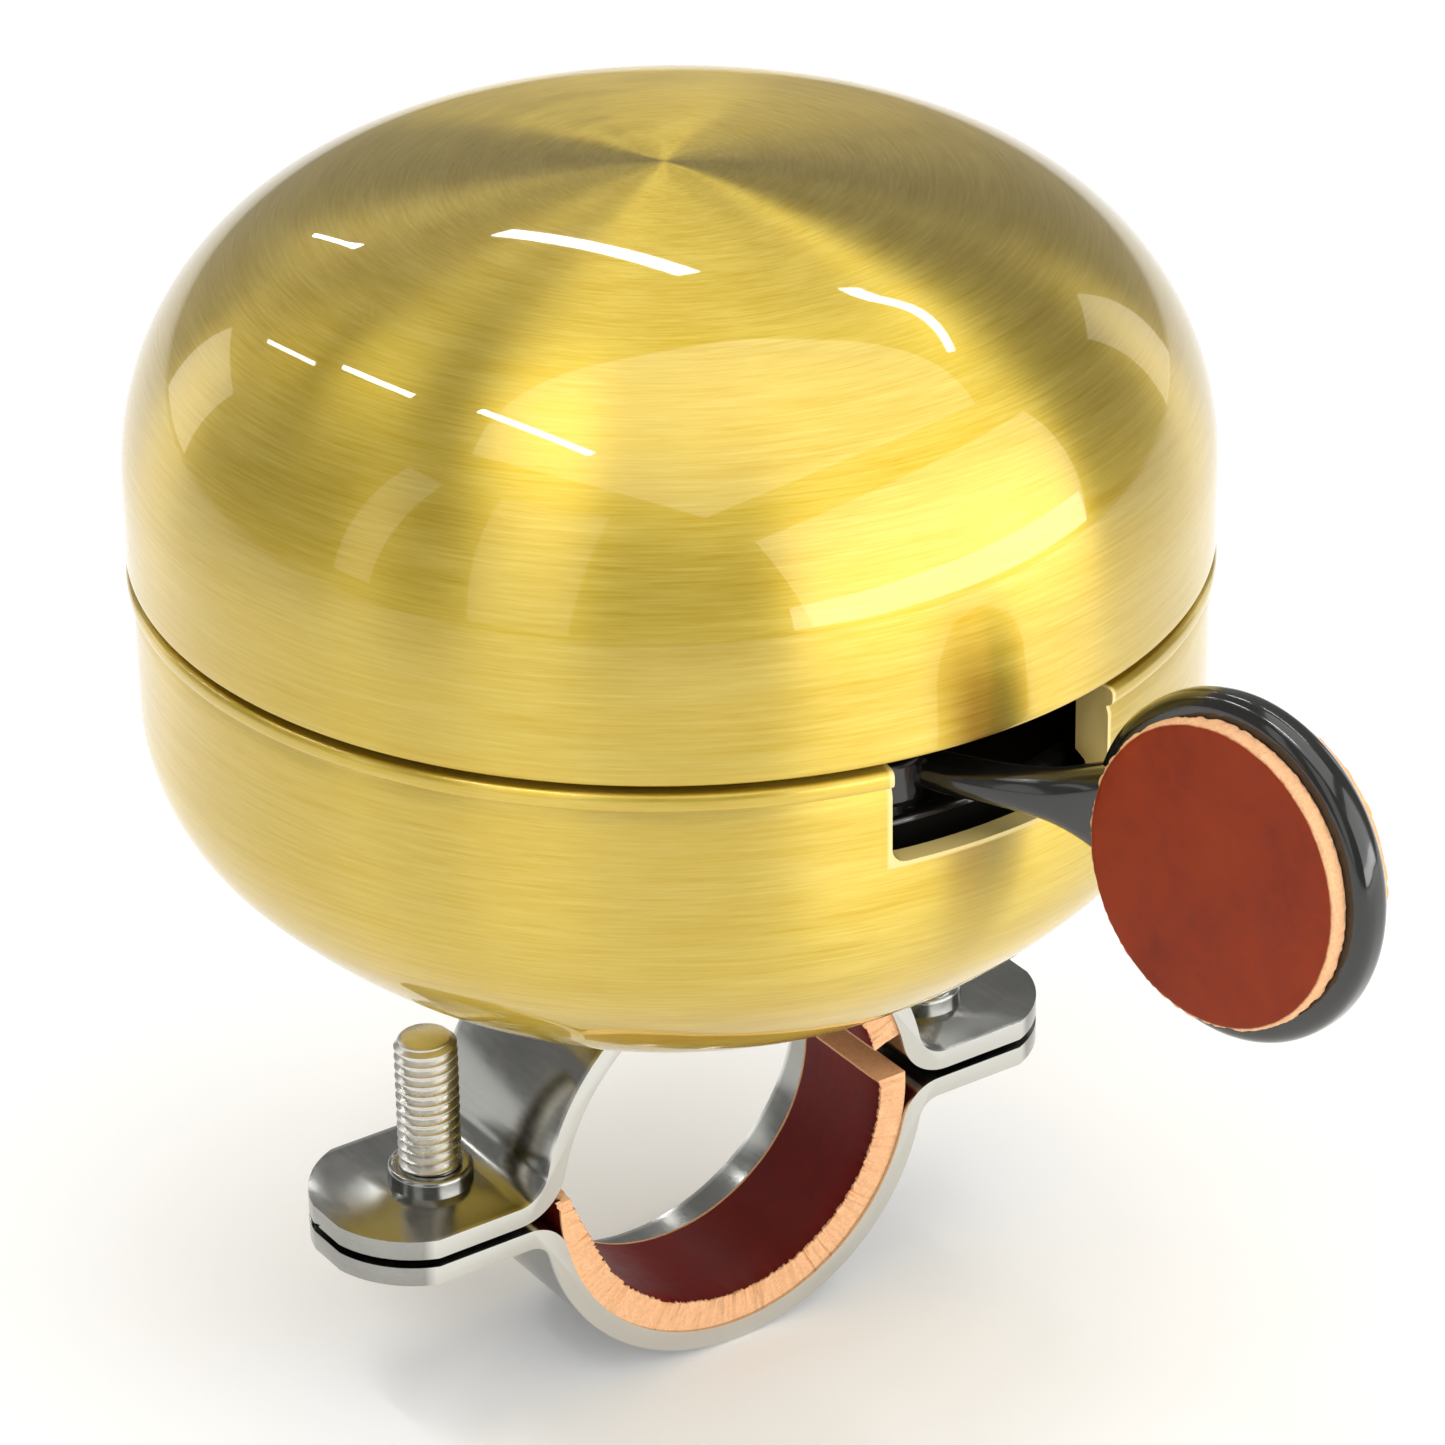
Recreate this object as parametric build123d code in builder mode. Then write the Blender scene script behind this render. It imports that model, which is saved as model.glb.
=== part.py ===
from build123d import *
from math import acos, atan2, cos, degrees, pi, radians, sin, sqrt, tan
import os

# Bicycle bell: two brass gongs round a lever-driven striker rotor, on a strap
# clamp lined with leather.
# Frame: origin at the centre of the handlebar bore, Y along the handlebar,
# X along the clamp's flanges, Z up the bell's axis.

os.makedirs("parts", exist_ok=True)

# ---- driving dimensions, mm ----
bar_radius = 11.15            # leather bore that closes on a 22.2 mm handlebar
leather_thick = 2.05
steel_thick = 1.3
strap_width = 12.8
gong_radius = 33.0
gong_wall = 1.4
rim_z = 41.2                  # lower edge of the upper gong
seam_gap = 0.5

# clamp
liner_outer = bar_radius + leather_thick
strap_outer = liner_outer + steel_thick
split_z = -0.3                # middle of the gap between the flanges
split_gap = 0.6
upper_flange_z = split_z + split_gap / 2
lower_flange_z = split_z - split_gap / 2 - steel_thick
flange_straight = 22.2        # half length of the straight edges
flange_tip = 26.6
tip_half_width = 2.6
bend_inner = 2.2
bend_outer = bend_inner + steel_thick
lower_bend_inner = 1.5        # tighter, to leave room for the screw heads
lower_bend_outer = lower_bend_inner + steel_thick
strap_flat_z = 13.6           # top of the pressed flat under the bell
screw_x = 18.8
screw_radius = 2.0
screw_top_z = 11.6
screw_head_radius = 3.1
screw_head_height = 2.4
collar_radius = 2.7
collar_height = 1.25

# gongs
upper_height = 23.9
upper_crown = 92.0
upper_shoulder = 17.1
lower_radius = 32.75
lower_straight_z = 31.8       # lower end of the straight wall
lower_shoulder = 11.9
lower_crown = 39.9
floor_z = 14.2
lower_rim_z = rim_z - seam_gap
hem_thick = 2.3               # the lower gong's rim is folded in to this thickness
hem_z = 36.0
notch_from = -101.5           # degrees round the bell's axis
notch_to = -73.5
notch_z = 34.6
notch_corner = 0.8

# centre stack
bolt_radius = 2.5
bolt_head_radius = 4.3
bolt_head_height = 1.0
bolt_length = 13.5
bolt_clearance = 0.1
base_washer_radius = 6.4
seat_washer_thick = 0.8
seat_washer_radius = 8.0
pillar_radius = 6.0
stud_radius = 3.0
stud_top_z = 58.0
tray_z = 32.4
tray_floor = 1.5
tray_radius = 29.6
tray_wall = 1.2
tray_rim_z = 35.5
nut_flats = 10.0
tray_nut_height = 2.0
lock_nut_height = 3.0
thrust_washer = 0.8           # height of the washer and of the bush's running play
bush_radius = 3.7
bush_flange_radius = 5.0
running_gap = 0.05

# gear train
module = 0.7
pressure_angle = radians(25)
addendum = 0.8 * module
dedendum = module
tooth_slack = 0.12
sector_teeth = 42             # teeth of the full circle
idler_pinion_teeth = 10
idler_gear_teeth = 34
rotor_teeth = 16
lever_travel = 20.0           # degrees
pivot_x, pivot_y = -3.4, -25.7
lever_z = 36.6                # underside of the lever plate
lever_thick = 2.2
gear_z = 39.0                 # underside of the idler's large gear
gear_thick = 1.7
pin_radius = 1.5
idler_pin_radius = 1.25
pin_top_z = 41.9
lever_boss_radius = 2.9
idler_boss_radius = 2.3
clip_thick = 0.45
sector_behind = 39            # degrees of toothed sector on each side of the mesh
sector_ahead = 13

# lever spring
wire_radius = 0.28
coil_radius = 2.6
coil_turns = 2.75
coil_pitch = 0.6
coil_end = 105.0              # degrees where the fixed leg leaves the coil
moving_leg = 5.2
fixed_leg = 7.2
peg_radius = 0.6
post_radius = 0.9
post_top_z = 41.8
spring_touch = 0.05
stop_top_z = 38.4

# rotor
arm_z = 42.3
arm_thick = 1.6
arm_width = 9.0
arm_angle = 20.0
striker_orbit = 21.5          # pin centres from the axis
striker_radius = 6.5
striker_hole = 3.5
striker_thick = 3.2
striker_pin_radius = 2.0
striker_gap = 0.3
lug_inner = 28.4
lug_half_angle = 5.0
lug_height = 4.0
lug_lift = 1.3                # both lugs end this far above the upper gong's rim
lower_lug_z = 36.2
upper_lug_angle = 60.0
lower_lug_angle = 150.0
hub_radius = 4.7
collar_of_rotor = 6.4
arm_hub_radius = 7.0

# lever pad
pad_x, pad_y, pad_z = 6.5, -46.9, 37.1
pad_turn = 10.0               # degrees that the pad's plane is turned from YZ
pad_lean = 4.3                # degrees that the pad's face looks up
pad_radius = 10.3
pad_thick = 2.4
pad_leather_radius = 9.0
pad_leather_thick = 1.2
leather_fit = 0.03            # room round the leather discs in the neck's pockets

# ---- derived places ----
pivot_distance = sqrt(pivot_x**2 + pivot_y**2)
pivot_angle = atan2(pivot_y, pivot_x)
sector_radius = module * sector_teeth / 2
mesh_lever = module * (sector_teeth + idler_pinion_teeth) / 2
mesh_rotor = module * (idler_gear_teeth + rotor_teeth) / 2
idler_turn = acos((pivot_distance**2 + mesh_rotor**2 - mesh_lever**2) / (2 * pivot_distance * mesh_rotor))
idler_angle = pivot_angle - idler_turn
idler_x = mesh_rotor * cos(idler_angle)
idler_y = mesh_rotor * sin(idler_angle)
to_idler = degrees(atan2(idler_y - pivot_y, idler_x - pivot_x))
pivot = (pivot_x, pivot_y)
idler_centre = (idler_x, idler_y)
coil_start = coil_end - 360 * coil_turns
coil_z = lever_z + lever_thick + 0.42


def on_circle(radius, angle, centre=(0, 0)):
    """Point at a radius and an angle in degrees about a centre."""
    return (centre[0] + radius * cos(radians(angle)), centre[1] + radius * sin(radians(angle)))


def beside_leg(along, aside, angle, heading):
    """Point beside a spring leg that leaves the coil at an angle with a heading."""
    start = on_circle(coil_radius, angle, pivot)
    ahead = on_circle(along, heading, start)
    return on_circle(aside, heading - 90, ahead)


def sector_edges(inner, outer, start, end, centre=(0, 0)):
    """Edges of an annular sector, for use inside a BuildLine."""
    middle = (start + end) / 2
    outer_ends = (on_circle(outer, start, centre), on_circle(outer, end, centre))
    inner_ends = (on_circle(inner, start, centre), on_circle(inner, end, centre))
    ThreePointArc(outer_ends[0], on_circle(outer, middle, centre), outer_ends[1])
    Line(outer_ends[1], inner_ends[1])
    ThreePointArc(inner_ends[1], on_circle(inner, middle, centre), inner_ends[0])
    Line(inner_ends[0], outer_ends[0])


def tooth_points(teeth, angle, centre=(0, 0)):
    """Outline of one involute tooth that points along an angle in degrees."""
    pitch = module * teeth / 2
    base = pitch * cos(pressure_angle)
    root = pitch - dedendum
    tip = pitch + addendum
    half_at_pitch = (pi * module / 2 - tooth_slack) / (2 * pitch)
    start = max(base, root)
    steps = 4
    flank = []
    for i in range(steps + 1):
        radius = start + (tip - start) * i / steps
        roll = acos(min(1.0, base / radius))
        half = half_at_pitch + (tan(pressure_angle) - pressure_angle) - (tan(roll) - roll)
        flank.append((radius, degrees(half)))
    flank.insert(0, (root - 0.1, flank[0][1]))
    outline = flank + [(radius, -half) for radius, half in reversed(flank)]
    return [on_circle(radius, angle + half, centre) for radius, half in outline]


# ---- gongs ----

def upper_profile(wall):
    """Closed half profile of the upper gong, set in by wall."""
    crown = upper_crown - wall
    shoulder = upper_shoulder - wall
    crown_z = rim_z + upper_height - upper_crown
    shoulder_x = gong_radius - upper_shoulder
    shoulder_z = crown_z + sqrt((upper_crown - upper_shoulder) ** 2 - shoulder_x**2)
    joint = atan2(shoulder_x, shoulder_z - crown_z)
    middle = (joint + pi / 2) / 2
    top = (0, crown_z + crown)
    meet = (crown * sin(joint), crown_z + crown * cos(joint))
    side = (shoulder_x + shoulder, shoulder_z)
    ThreePointArc(top, (crown * sin(joint / 2), crown_z + crown * cos(joint / 2)), meet)
    ThreePointArc(meet, (shoulder_x + shoulder * sin(middle), shoulder_z + shoulder * cos(middle)), side)
    Polyline(side, (side[0], rim_z), (0, rim_z), top)


def lower_profile(wall, top_z):
    """Closed half profile of the lower gong, set in by wall, up to top_z."""
    crown = lower_crown - wall
    shoulder = lower_shoulder - wall
    shoulder_x = lower_radius - lower_shoulder
    reach = sqrt((lower_crown - lower_shoulder) ** 2 - shoulder_x**2)
    crown_z = lower_straight_z + reach
    joint = atan2(shoulder_x, reach)
    flat_z = floor_z + wall
    flat = acos((crown_z - flat_z) / crown)
    low = (joint + flat) / 2
    high = (joint + pi / 2) / 2
    foot = (crown * sin(flat), flat_z)
    meet = (crown * sin(joint), crown_z - crown * cos(joint))
    side = (lower_radius - wall, lower_straight_z)
    ThreePointArc(foot, (crown * sin(low), crown_z - crown * cos(low)), meet)
    bend = (shoulder_x + shoulder * sin(high), lower_straight_z - shoulder * cos(high))
    ThreePointArc(meet, bend, side)
    Polyline(side, (side[0], top_z), (0, top_z), (0, flat_z), foot)


with BuildPart() as upper_gong:
    with BuildSketch(Plane.XZ):
        with BuildLine():
            upper_profile(0)
        make_face()
    revolve(axis=Axis.Z)
    with BuildSketch(Plane.XZ):
        with BuildLine():
            upper_profile(gong_wall)
        make_face()
    revolve(axis=Axis.Z, mode=Mode.SUBTRACT)
    fillet(upper_gong.edges().group_by(Axis.Z)[0], 0.3)

with BuildPart() as lower_gong:
    with BuildSketch(Plane.XZ):
        with BuildLine():
            lower_profile(0, lower_rim_z)
        make_face()
    revolve(axis=Axis.Z)
    with BuildSketch(Plane.XZ):
        with BuildLine():
            lower_profile(gong_wall, lower_rim_z)
        make_face()
    revolve(axis=Axis.Z, mode=Mode.SUBTRACT)
    with BuildSketch(Plane.XY.offset(hem_z)):
        Circle(lower_radius - gong_wall / 2)
        Circle(lower_radius - hem_thick, mode=Mode.SUBTRACT)
    extrude(amount=lower_rim_z - hem_z)
    fillet(lower_gong.edges().group_by(Axis.Z)[-1], 0.5)
    # notch that the lever swings in
    with BuildSketch(Plane.XY.offset(notch_z)):
        with BuildLine():
            sector_edges(lower_radius - 4, lower_radius + 4, notch_from, notch_to)
        make_face()
    extrude(amount=lower_rim_z - notch_z + 1, mode=Mode.SUBTRACT)
    notch_edges = [
        edge
        for edge in lower_gong.edges().filter_by(GeomType.LINE)
        if abs(edge.center().Z - notch_z) < 0.01
    ]
    fillet(notch_edges, notch_corner)
    with Locations((0, 0, floor_z)):
        Hole(bolt_radius + bolt_clearance)

with BuildPart() as upper_gong_lug:
    with BuildSketch(Plane.XY.offset(rim_z + lug_lift)):
        with BuildLine():
            lug_side = (upper_lug_angle - lug_half_angle, upper_lug_angle + lug_half_angle)
            sector_edges(lug_inner, gong_radius - gong_wall, *lug_side)
        make_face()
    extrude(amount=lug_height)
    fillet(upper_gong_lug.edges().filter_by(Axis.Z).group_by(SortBy.DISTANCE)[0], 0.8)

with BuildPart() as lower_gong_lug:
    lug_ends = (lower_lug_angle - lug_half_angle, lower_lug_angle + lug_half_angle)
    with BuildSketch(Plane.XY.offset(lower_lug_z)):
        with BuildLine():
            sector_edges(lug_inner, lower_radius - hem_thick, *lug_ends)
        make_face()
    extrude(amount=lower_rim_z - lower_lug_z - 0.8)
    with BuildSketch(Plane.XY.offset(lower_lug_z)):
        with BuildLine():
            sector_edges(lug_inner, lower_radius - hem_thick - 0.3, *lug_ends)
        make_face()
    extrude(amount=rim_z + lug_lift + lug_height - lower_lug_z)

# ---- centre stack, from the clamp up ----
with BuildPart() as base_bolt:
    head_z = strap_flat_z - steel_thick - bolt_head_height
    with Locations((0, 0, head_z)):
        Cylinder(bolt_head_radius, bolt_head_height, align=(Align.CENTER, Align.CENTER, Align.MIN))
        Cylinder(bolt_radius, bolt_length, align=(Align.CENTER, Align.CENTER, Align.MIN))
    with BuildSketch(Plane.XY.offset(head_z)):
        RegularPolygon(1.5, 6)
    extrude(amount=0.7, mode=Mode.SUBTRACT)
    chamfer(base_bolt.edges().sort_by(Axis.Z)[-1], 0.4)

with BuildPart() as base_washer:
    with BuildSketch(Plane.XY.offset(strap_flat_z)):
        Circle(base_washer_radius)
        Circle(bolt_radius + bolt_clearance, mode=Mode.SUBTRACT)
    extrude(amount=floor_z - strap_flat_z)

seat_z = floor_z + gong_wall
pillar_z = seat_z + seat_washer_thick
with BuildPart() as gong_seat_washer:
    with BuildSketch(Plane.XY.offset(seat_z)):
        Circle(seat_washer_radius)
        Circle(bolt_radius + bolt_clearance, mode=Mode.SUBTRACT)
    extrude(amount=seat_washer_thick)

with BuildPart() as centre_post:
    with BuildSketch(Plane.XY.offset(pillar_z)):
        Circle(pillar_radius)
    extrude(amount=tray_z - pillar_z)
    chamfer(centre_post.edges().sort_by(Axis.Z)[-1], 0.4)
    with BuildSketch(Plane.XY.offset(pillar_z)):
        Circle(bolt_radius)
    extrude(amount=bolt_length - 3.0, mode=Mode.SUBTRACT)
    with BuildSketch(Plane.XY.offset(tray_z)):
        Circle(stud_radius)
    extrude(amount=stud_top_z - tray_z)
    chamfer(centre_post.edges().sort_by(Axis.Z)[-1], 0.5)

with BuildPart() as mechanism_tray:
    with BuildSketch(Plane.XY.offset(tray_z)):
        Circle(tray_radius)
        Circle(stud_radius + running_gap, mode=Mode.SUBTRACT)
        with Locations((pivot_x, pivot_y)):
            Circle(pin_radius, mode=Mode.SUBTRACT)
        with Locations((idler_x, idler_y)):
            Circle(idler_pin_radius, mode=Mode.SUBTRACT)
    extrude(amount=tray_floor)
    with BuildSketch(Plane.XY.offset(tray_z)):
        Circle(tray_radius)
        Circle(tray_radius - tray_wall, mode=Mode.SUBTRACT)
    extrude(amount=tray_rim_z - tray_z)
    fillet(mechanism_tray.edges().group_by(Axis.Z)[-1], 0.4)
    # raised bosses under the lever and the idler
    boss_z = tray_z + tray_floor
    with BuildSketch(Plane.XY.offset(boss_z)):
        with Locations((pivot_x, pivot_y)):
            Circle(lever_boss_radius)
            Circle(pin_radius, mode=Mode.SUBTRACT)
        with Locations((idler_x, idler_y)):
            Circle(idler_boss_radius)
            Circle(idler_pin_radius, mode=Mode.SUBTRACT)
    extrude(amount=lever_z - 0.15 - boss_z)
    # stops at both ends of the lever's travel, and the spring's post
    stop_radius = 1.2
    stop_reach = 11.5
    stop_lead = degrees((stop_radius + 0.15) / stop_reach)
    rest_stop = to_idler - sector_behind - stop_lead
    end_stop = to_idler + sector_ahead + lever_travel + stop_lead
    with BuildSketch(Plane.XY.offset(boss_z)):
        with Locations((pivot_x, pivot_y)):
            with Locations(on_circle(stop_reach, rest_stop), on_circle(stop_reach, end_stop)):
                Circle(stop_radius)
    extrude(amount=stop_top_z - boss_z)
    spring_post = beside_leg(5.9, -(wire_radius + post_radius + spring_touch), coil_end, coil_end + 90)
    with BuildSketch(Plane.XY.offset(boss_z)):
        with Locations(spring_post):
            Circle(post_radius)
    extrude(amount=post_top_z - boss_z)

nut_z = tray_z + tray_floor
with BuildPart() as tray_nut:
    with BuildSketch(Plane.XY.offset(nut_z)):
        RegularPolygon(nut_flats / 2, 6, major_radius=False)
        Circle(stud_radius, mode=Mode.SUBTRACT)
    extrude(amount=tray_nut_height)

bush_z = nut_z + tray_nut_height
with BuildPart() as rotor_bush:
    with BuildSketch(Plane.XY.offset(bush_z)):
        Circle(bush_flange_radius)
        Circle(stud_radius + 0.02, mode=Mode.SUBTRACT)
    extrude(amount=0.7)
    with BuildSketch(Plane.XY.offset(bush_z)):
        Circle(bush_radius)
        Circle(stud_radius + 0.02, mode=Mode.SUBTRACT)
    extrude(amount=arm_z + arm_thick + thrust_washer - bush_z)

lock_z = arm_z + arm_thick + thrust_washer
with BuildPart() as lock_washer:
    with BuildSketch(Plane.XY.offset(lock_z)):
        Circle(5.5)
        Circle(stud_radius + 0.02, mode=Mode.SUBTRACT)
    extrude(amount=thrust_washer)

with BuildPart() as post_lock_nut:
    with BuildSketch(Plane.XY.offset(lock_z + thrust_washer)):
        RegularPolygon(nut_flats / 2, 6, major_radius=False)
        Circle(stud_radius, mode=Mode.SUBTRACT)
    extrude(amount=lock_nut_height)

# threaded hub brazed under the crown: its top follows the crown's inner face
with BuildPart() as upper_gong_boss:
    boss_radius = 6.0
    boss_foot_z = 52.0
    inner_crown = upper_crown - gong_wall
    inner_centre_z = rim_z + upper_height - upper_crown
    edge_z = inner_centre_z + sqrt(inner_crown**2 - boss_radius**2)
    half_z = inner_centre_z + sqrt(inner_crown**2 - (boss_radius / 2) ** 2)
    apex_z = inner_centre_z + inner_crown
    with BuildSketch(Plane.XZ):
        with BuildLine():
            Polyline((0, apex_z), (0, boss_foot_z), (boss_radius, boss_foot_z), (boss_radius, edge_z))
            ThreePointArc((boss_radius, edge_z), (boss_radius / 2, half_z), (0, apex_z))
        make_face()
    revolve(axis=Axis.Z)
    with BuildSketch(Plane.XY.offset(boss_foot_z)):
        Circle(stud_radius)
    extrude(amount=stud_top_z + 1 - boss_foot_z, mode=Mode.SUBTRACT)

# ---- lever ----
plate_mid_z = lever_z + lever_thick / 2
sector_back = to_idler - sector_behind
sector_front = to_idler + sector_ahead
neck_angle = -57.0
neck_start = on_circle(3.0, neck_angle, pivot)
notch_point = (0.9, -32.9)
neck_middle = (3.9, -37.0)
neck_end = (5.5, -41.0)
pad_plane = Plane(
    origin=(pad_x, pad_y, pad_z),
    x_dir=(sin(radians(pad_turn)), -cos(radians(pad_turn)), 0),
    z_dir=(
        -cos(radians(pad_turn)) * cos(radians(pad_lean)),
        -sin(radians(pad_turn)) * cos(radians(pad_lean)),
        sin(radians(pad_lean)),
    ),
)


def neck_plane(point, ahead, z):
    """Plane across the neck at a point, facing the next one."""
    across = (-ahead[1], ahead[0], 0)
    return Plane(origin=(point[0], point[1], z), z_dir=(ahead[0], ahead[1], 0), x_dir=across)


with BuildPart() as thumb_lever:
    with BuildSketch(Plane.XY.offset(lever_z)):
        with Locations(pivot):
            Circle(3.8)
        with BuildLine():
            sector_edges(2.0, sector_radius - dedendum, sector_back, sector_front, pivot)
        make_face()
        for k in range(-4, 2):
            with BuildLine():
                Polyline(*tooth_points(sector_teeth, to_idler + k * 360 / sector_teeth, pivot), close=True)
            make_face()
    extrude(amount=lever_thick)
    # neck, thin through the notch and flaring into the pad
    sections = [
        (neck_start, (0.54, -0.84), plate_mid_z, 3.6, lever_thick),
        (notch_point, (0.58, -0.81), plate_mid_z, 3.0, 2.3),
        (neck_middle, (0.5, -0.87), pad_z, 3.4, 4.2),
        (neck_end, (0.3, -0.95), pad_z, 3.8, 8.2),
        ((6.1, -44.6), (0.17, -0.98), pad_z, 2.2, 12.0),
    ]
    for point, ahead, z, wide, tall in sections:
        with BuildSketch(neck_plane(point, ahead, z)):
            RectangleRounded(wide, tall, min(wide, tall) * 0.42)
    loft()
    # round pad with a soft rim
    with BuildSketch(pad_plane.offset(-pad_thick / 2)):
        Circle(pad_radius)
    extrude(amount=pad_thick)
    # pockets where the leather discs sit against the neck
    for side in (1, -1):
        with BuildSketch(pad_plane.offset(side * pad_thick / 2)):
            Circle(pad_leather_radius + leather_fit)
        extrude(amount=side * 4.0, mode=Mode.SUBTRACT)
    # peg for the spring's moving leg
    spring_peg = beside_leg(3.9, wire_radius + peg_radius + spring_touch, coil_start, coil_start - 90)
    with BuildSketch(Plane.XY.offset(lever_z + lever_thick)):
        with Locations(spring_peg):
            Circle(peg_radius)
    extrude(amount=1.3)
    with BuildSketch(Plane.XY.offset(lever_z - 1)):
        with Locations(pivot):
            Circle(pin_radius + running_gap)
    extrude(amount=lever_thick + 2, mode=Mode.SUBTRACT)

with BuildPart() as lever_leather_front:
    with BuildSketch(pad_plane.offset(pad_thick / 2)):
        Circle(pad_leather_radius)
    extrude(amount=pad_leather_thick)

with BuildPart() as lever_leather_back:
    with BuildSketch(pad_plane.offset(-pad_thick / 2 - pad_leather_thick)):
        Circle(pad_leather_radius)
    extrude(amount=pad_leather_thick)

with BuildPart() as lever_pivot_pin:
    with BuildSketch(Plane.XY.offset(tray_z)):
        with Locations(pivot):
            Circle(pin_radius)
    extrude(amount=pin_top_z - tray_z)
    chamfer(lever_pivot_pin.edges().sort_by(Axis.Z)[-1], 0.2)

with BuildPart() as lever_clip:
    with BuildSketch(Plane.XY.offset(pin_top_z - 0.7)):
        with Locations(pivot):
            Circle(2.2)
            Circle(pin_radius, mode=Mode.SUBTRACT)
        with Locations((pivot_x, pivot_y - 1.9)):
            Rectangle(1.4, 1.6, mode=Mode.SUBTRACT)
    extrude(amount=clip_thick)

# torsion spring round the lever's pin, between the lever's peg and the tray's post
coil = Rot(0, 0, coil_start) * Helix(coil_pitch, coil_turns * coil_pitch, coil_radius)
coil = Pos(pivot_x, pivot_y, coil_z) * coil
with BuildPart() as lever_return_spring:
    with BuildLine():
        add(coil)
    with BuildSketch(Plane(origin=coil @ 0, z_dir=coil % 0)):
        Circle(wire_radius)
    sweep()
    with BuildSketch(Plane(origin=coil @ 0, z_dir=-(coil % 0))):
        Circle(wire_radius)
    extrude(amount=moving_leg)
    with BuildSketch(Plane(origin=coil @ 1, z_dir=coil % 1)):
        Circle(wire_radius)
    extrude(amount=fixed_leg)

# ---- idler ----
to_pivot = to_idler + 180
to_axis = degrees(idler_angle) + 180
with BuildPart() as idler_gear:
    with BuildSketch(Plane.XY.offset(lever_z)):
        with Locations(idler_centre):
            Circle(module * idler_pinion_teeth / 2 - dedendum)
        for k in range(idler_pinion_teeth):
            with BuildLine():
                turn = to_pivot + (k + 0.5) * 360 / idler_pinion_teeth
                Polyline(*tooth_points(idler_pinion_teeth, turn, idler_centre), close=True)
            make_face()
    extrude(amount=gear_z - lever_z)
    with BuildSketch(Plane.XY.offset(gear_z)):
        with Locations(idler_centre):
            Circle(module * idler_gear_teeth / 2 - dedendum)
        for k in range(idler_gear_teeth):
            with BuildLine():
                turn = to_axis + k * 360 / idler_gear_teeth
                Polyline(*tooth_points(idler_gear_teeth, turn, idler_centre), close=True)
            make_face()
    extrude(amount=gear_thick)
    with BuildSketch(Plane.XY.offset(lever_z)):
        with Locations(idler_centre):
            Circle(idler_pin_radius + running_gap)
    extrude(amount=gear_z + gear_thick - lever_z, mode=Mode.SUBTRACT)

with BuildPart() as idler_pin:
    with BuildSketch(Plane.XY.offset(tray_z)):
        with Locations(idler_centre):
            Circle(idler_pin_radius)
    extrude(amount=pin_top_z - tray_z)
    chamfer(idler_pin.edges().sort_by(Axis.Z)[-1], 0.2)

with BuildPart() as idler_clip:
    with BuildSketch(Plane.XY.offset(gear_z + gear_thick + 0.2)):
        with Locations(idler_centre):
            Circle(2.7)
            Circle(idler_pin_radius, mode=Mode.SUBTRACT)
        with Locations((idler_x, idler_y - 2.1)):
            Rectangle(1.5, 1.8, mode=Mode.SUBTRACT)
    extrude(amount=clip_thick)

# ---- rotor ----
arm_ends = [on_circle(striker_orbit, arm_angle), on_circle(striker_orbit, arm_angle + 180)]
with BuildPart() as rotor:
    with BuildSketch(Plane.XY.offset(bush_z + thrust_washer)):
        Circle(hub_radius)
    extrude(amount=gear_z - bush_z - thrust_washer)
    with BuildSketch(Plane.XY.offset(gear_z)):
        Circle(module * rotor_teeth / 2 - dedendum)
        for k in range(rotor_teeth):
            with BuildLine():
                turn = degrees(idler_angle) + (k + 0.5) * 360 / rotor_teeth
                Polyline(*tooth_points(rotor_teeth, turn), close=True)
            make_face()
    extrude(amount=gear_thick)
    with BuildSketch(Plane.XY.offset(gear_z + gear_thick)):
        Circle(collar_of_rotor)
    extrude(amount=arm_z - gear_z - gear_thick)
    with BuildSketch(Plane.XY.offset(arm_z)):
        Circle(arm_hub_radius)
        SlotCenterToCenter(2 * striker_orbit, arm_width, rotation=arm_angle)
        with Locations(*arm_ends):
            Circle(striker_pin_radius, mode=Mode.SUBTRACT)
    extrude(amount=arm_thick)
    with BuildSketch(Plane.XY.offset(arm_z + arm_thick)):
        Circle(5.2)
    extrude(amount=0.6)
    with BuildSketch(Plane.XY.offset(bush_z)):
        Circle(bush_radius + running_gap)
    extrude(amount=lock_z - bush_z, mode=Mode.SUBTRACT)

striker_z = arm_z + arm_thick + striker_gap
head_under_z = striker_z + striker_thick + striker_gap
with BuildPart() as striker_pins:
    with BuildSketch(Plane.XY.offset(arm_z)):
        with Locations(*arm_ends):
            Circle(striker_pin_radius)
    extrude(amount=head_under_z - arm_z)
    with BuildSketch(Plane.XY.offset(head_under_z)):
        with Locations(*arm_ends):
            Circle(4.4)
    extrude(amount=1.0)
    fillet(striker_pins.edges().group_by(Axis.Z)[-1], 0.4)

with BuildPart() as striker_washer_a:
    with BuildSketch(Plane.XY.offset(striker_z)):
        with Locations(arm_ends[0]):
            Circle(striker_radius)
            Circle(striker_hole, mode=Mode.SUBTRACT)
    extrude(amount=striker_thick)
    chamfer(striker_washer_a.edges(), 0.3)

with BuildPart() as striker_washer_b:
    with BuildSketch(Plane.XY.offset(striker_z)):
        with Locations(arm_ends[1]):
            Circle(striker_radius)
            Circle(striker_hole, mode=Mode.SUBTRACT)
    extrude(amount=striker_thick)
    chamfer(striker_washer_b.edges(), 0.3)

# ---- clamp ----
tip_outline = [
    (flange_straight, -strap_width / 2),
    (flange_tip, -tip_half_width),
    (flange_tip, tip_half_width),
    (flange_straight, strap_width / 2),
    (-flange_straight, strap_width / 2),
    (-flange_tip, tip_half_width),
    (-flange_tip, -tip_half_width),
    (-flange_straight, -strap_width / 2),
]
screw_places = [(-screw_x, 0), (screw_x, 0)]

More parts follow.
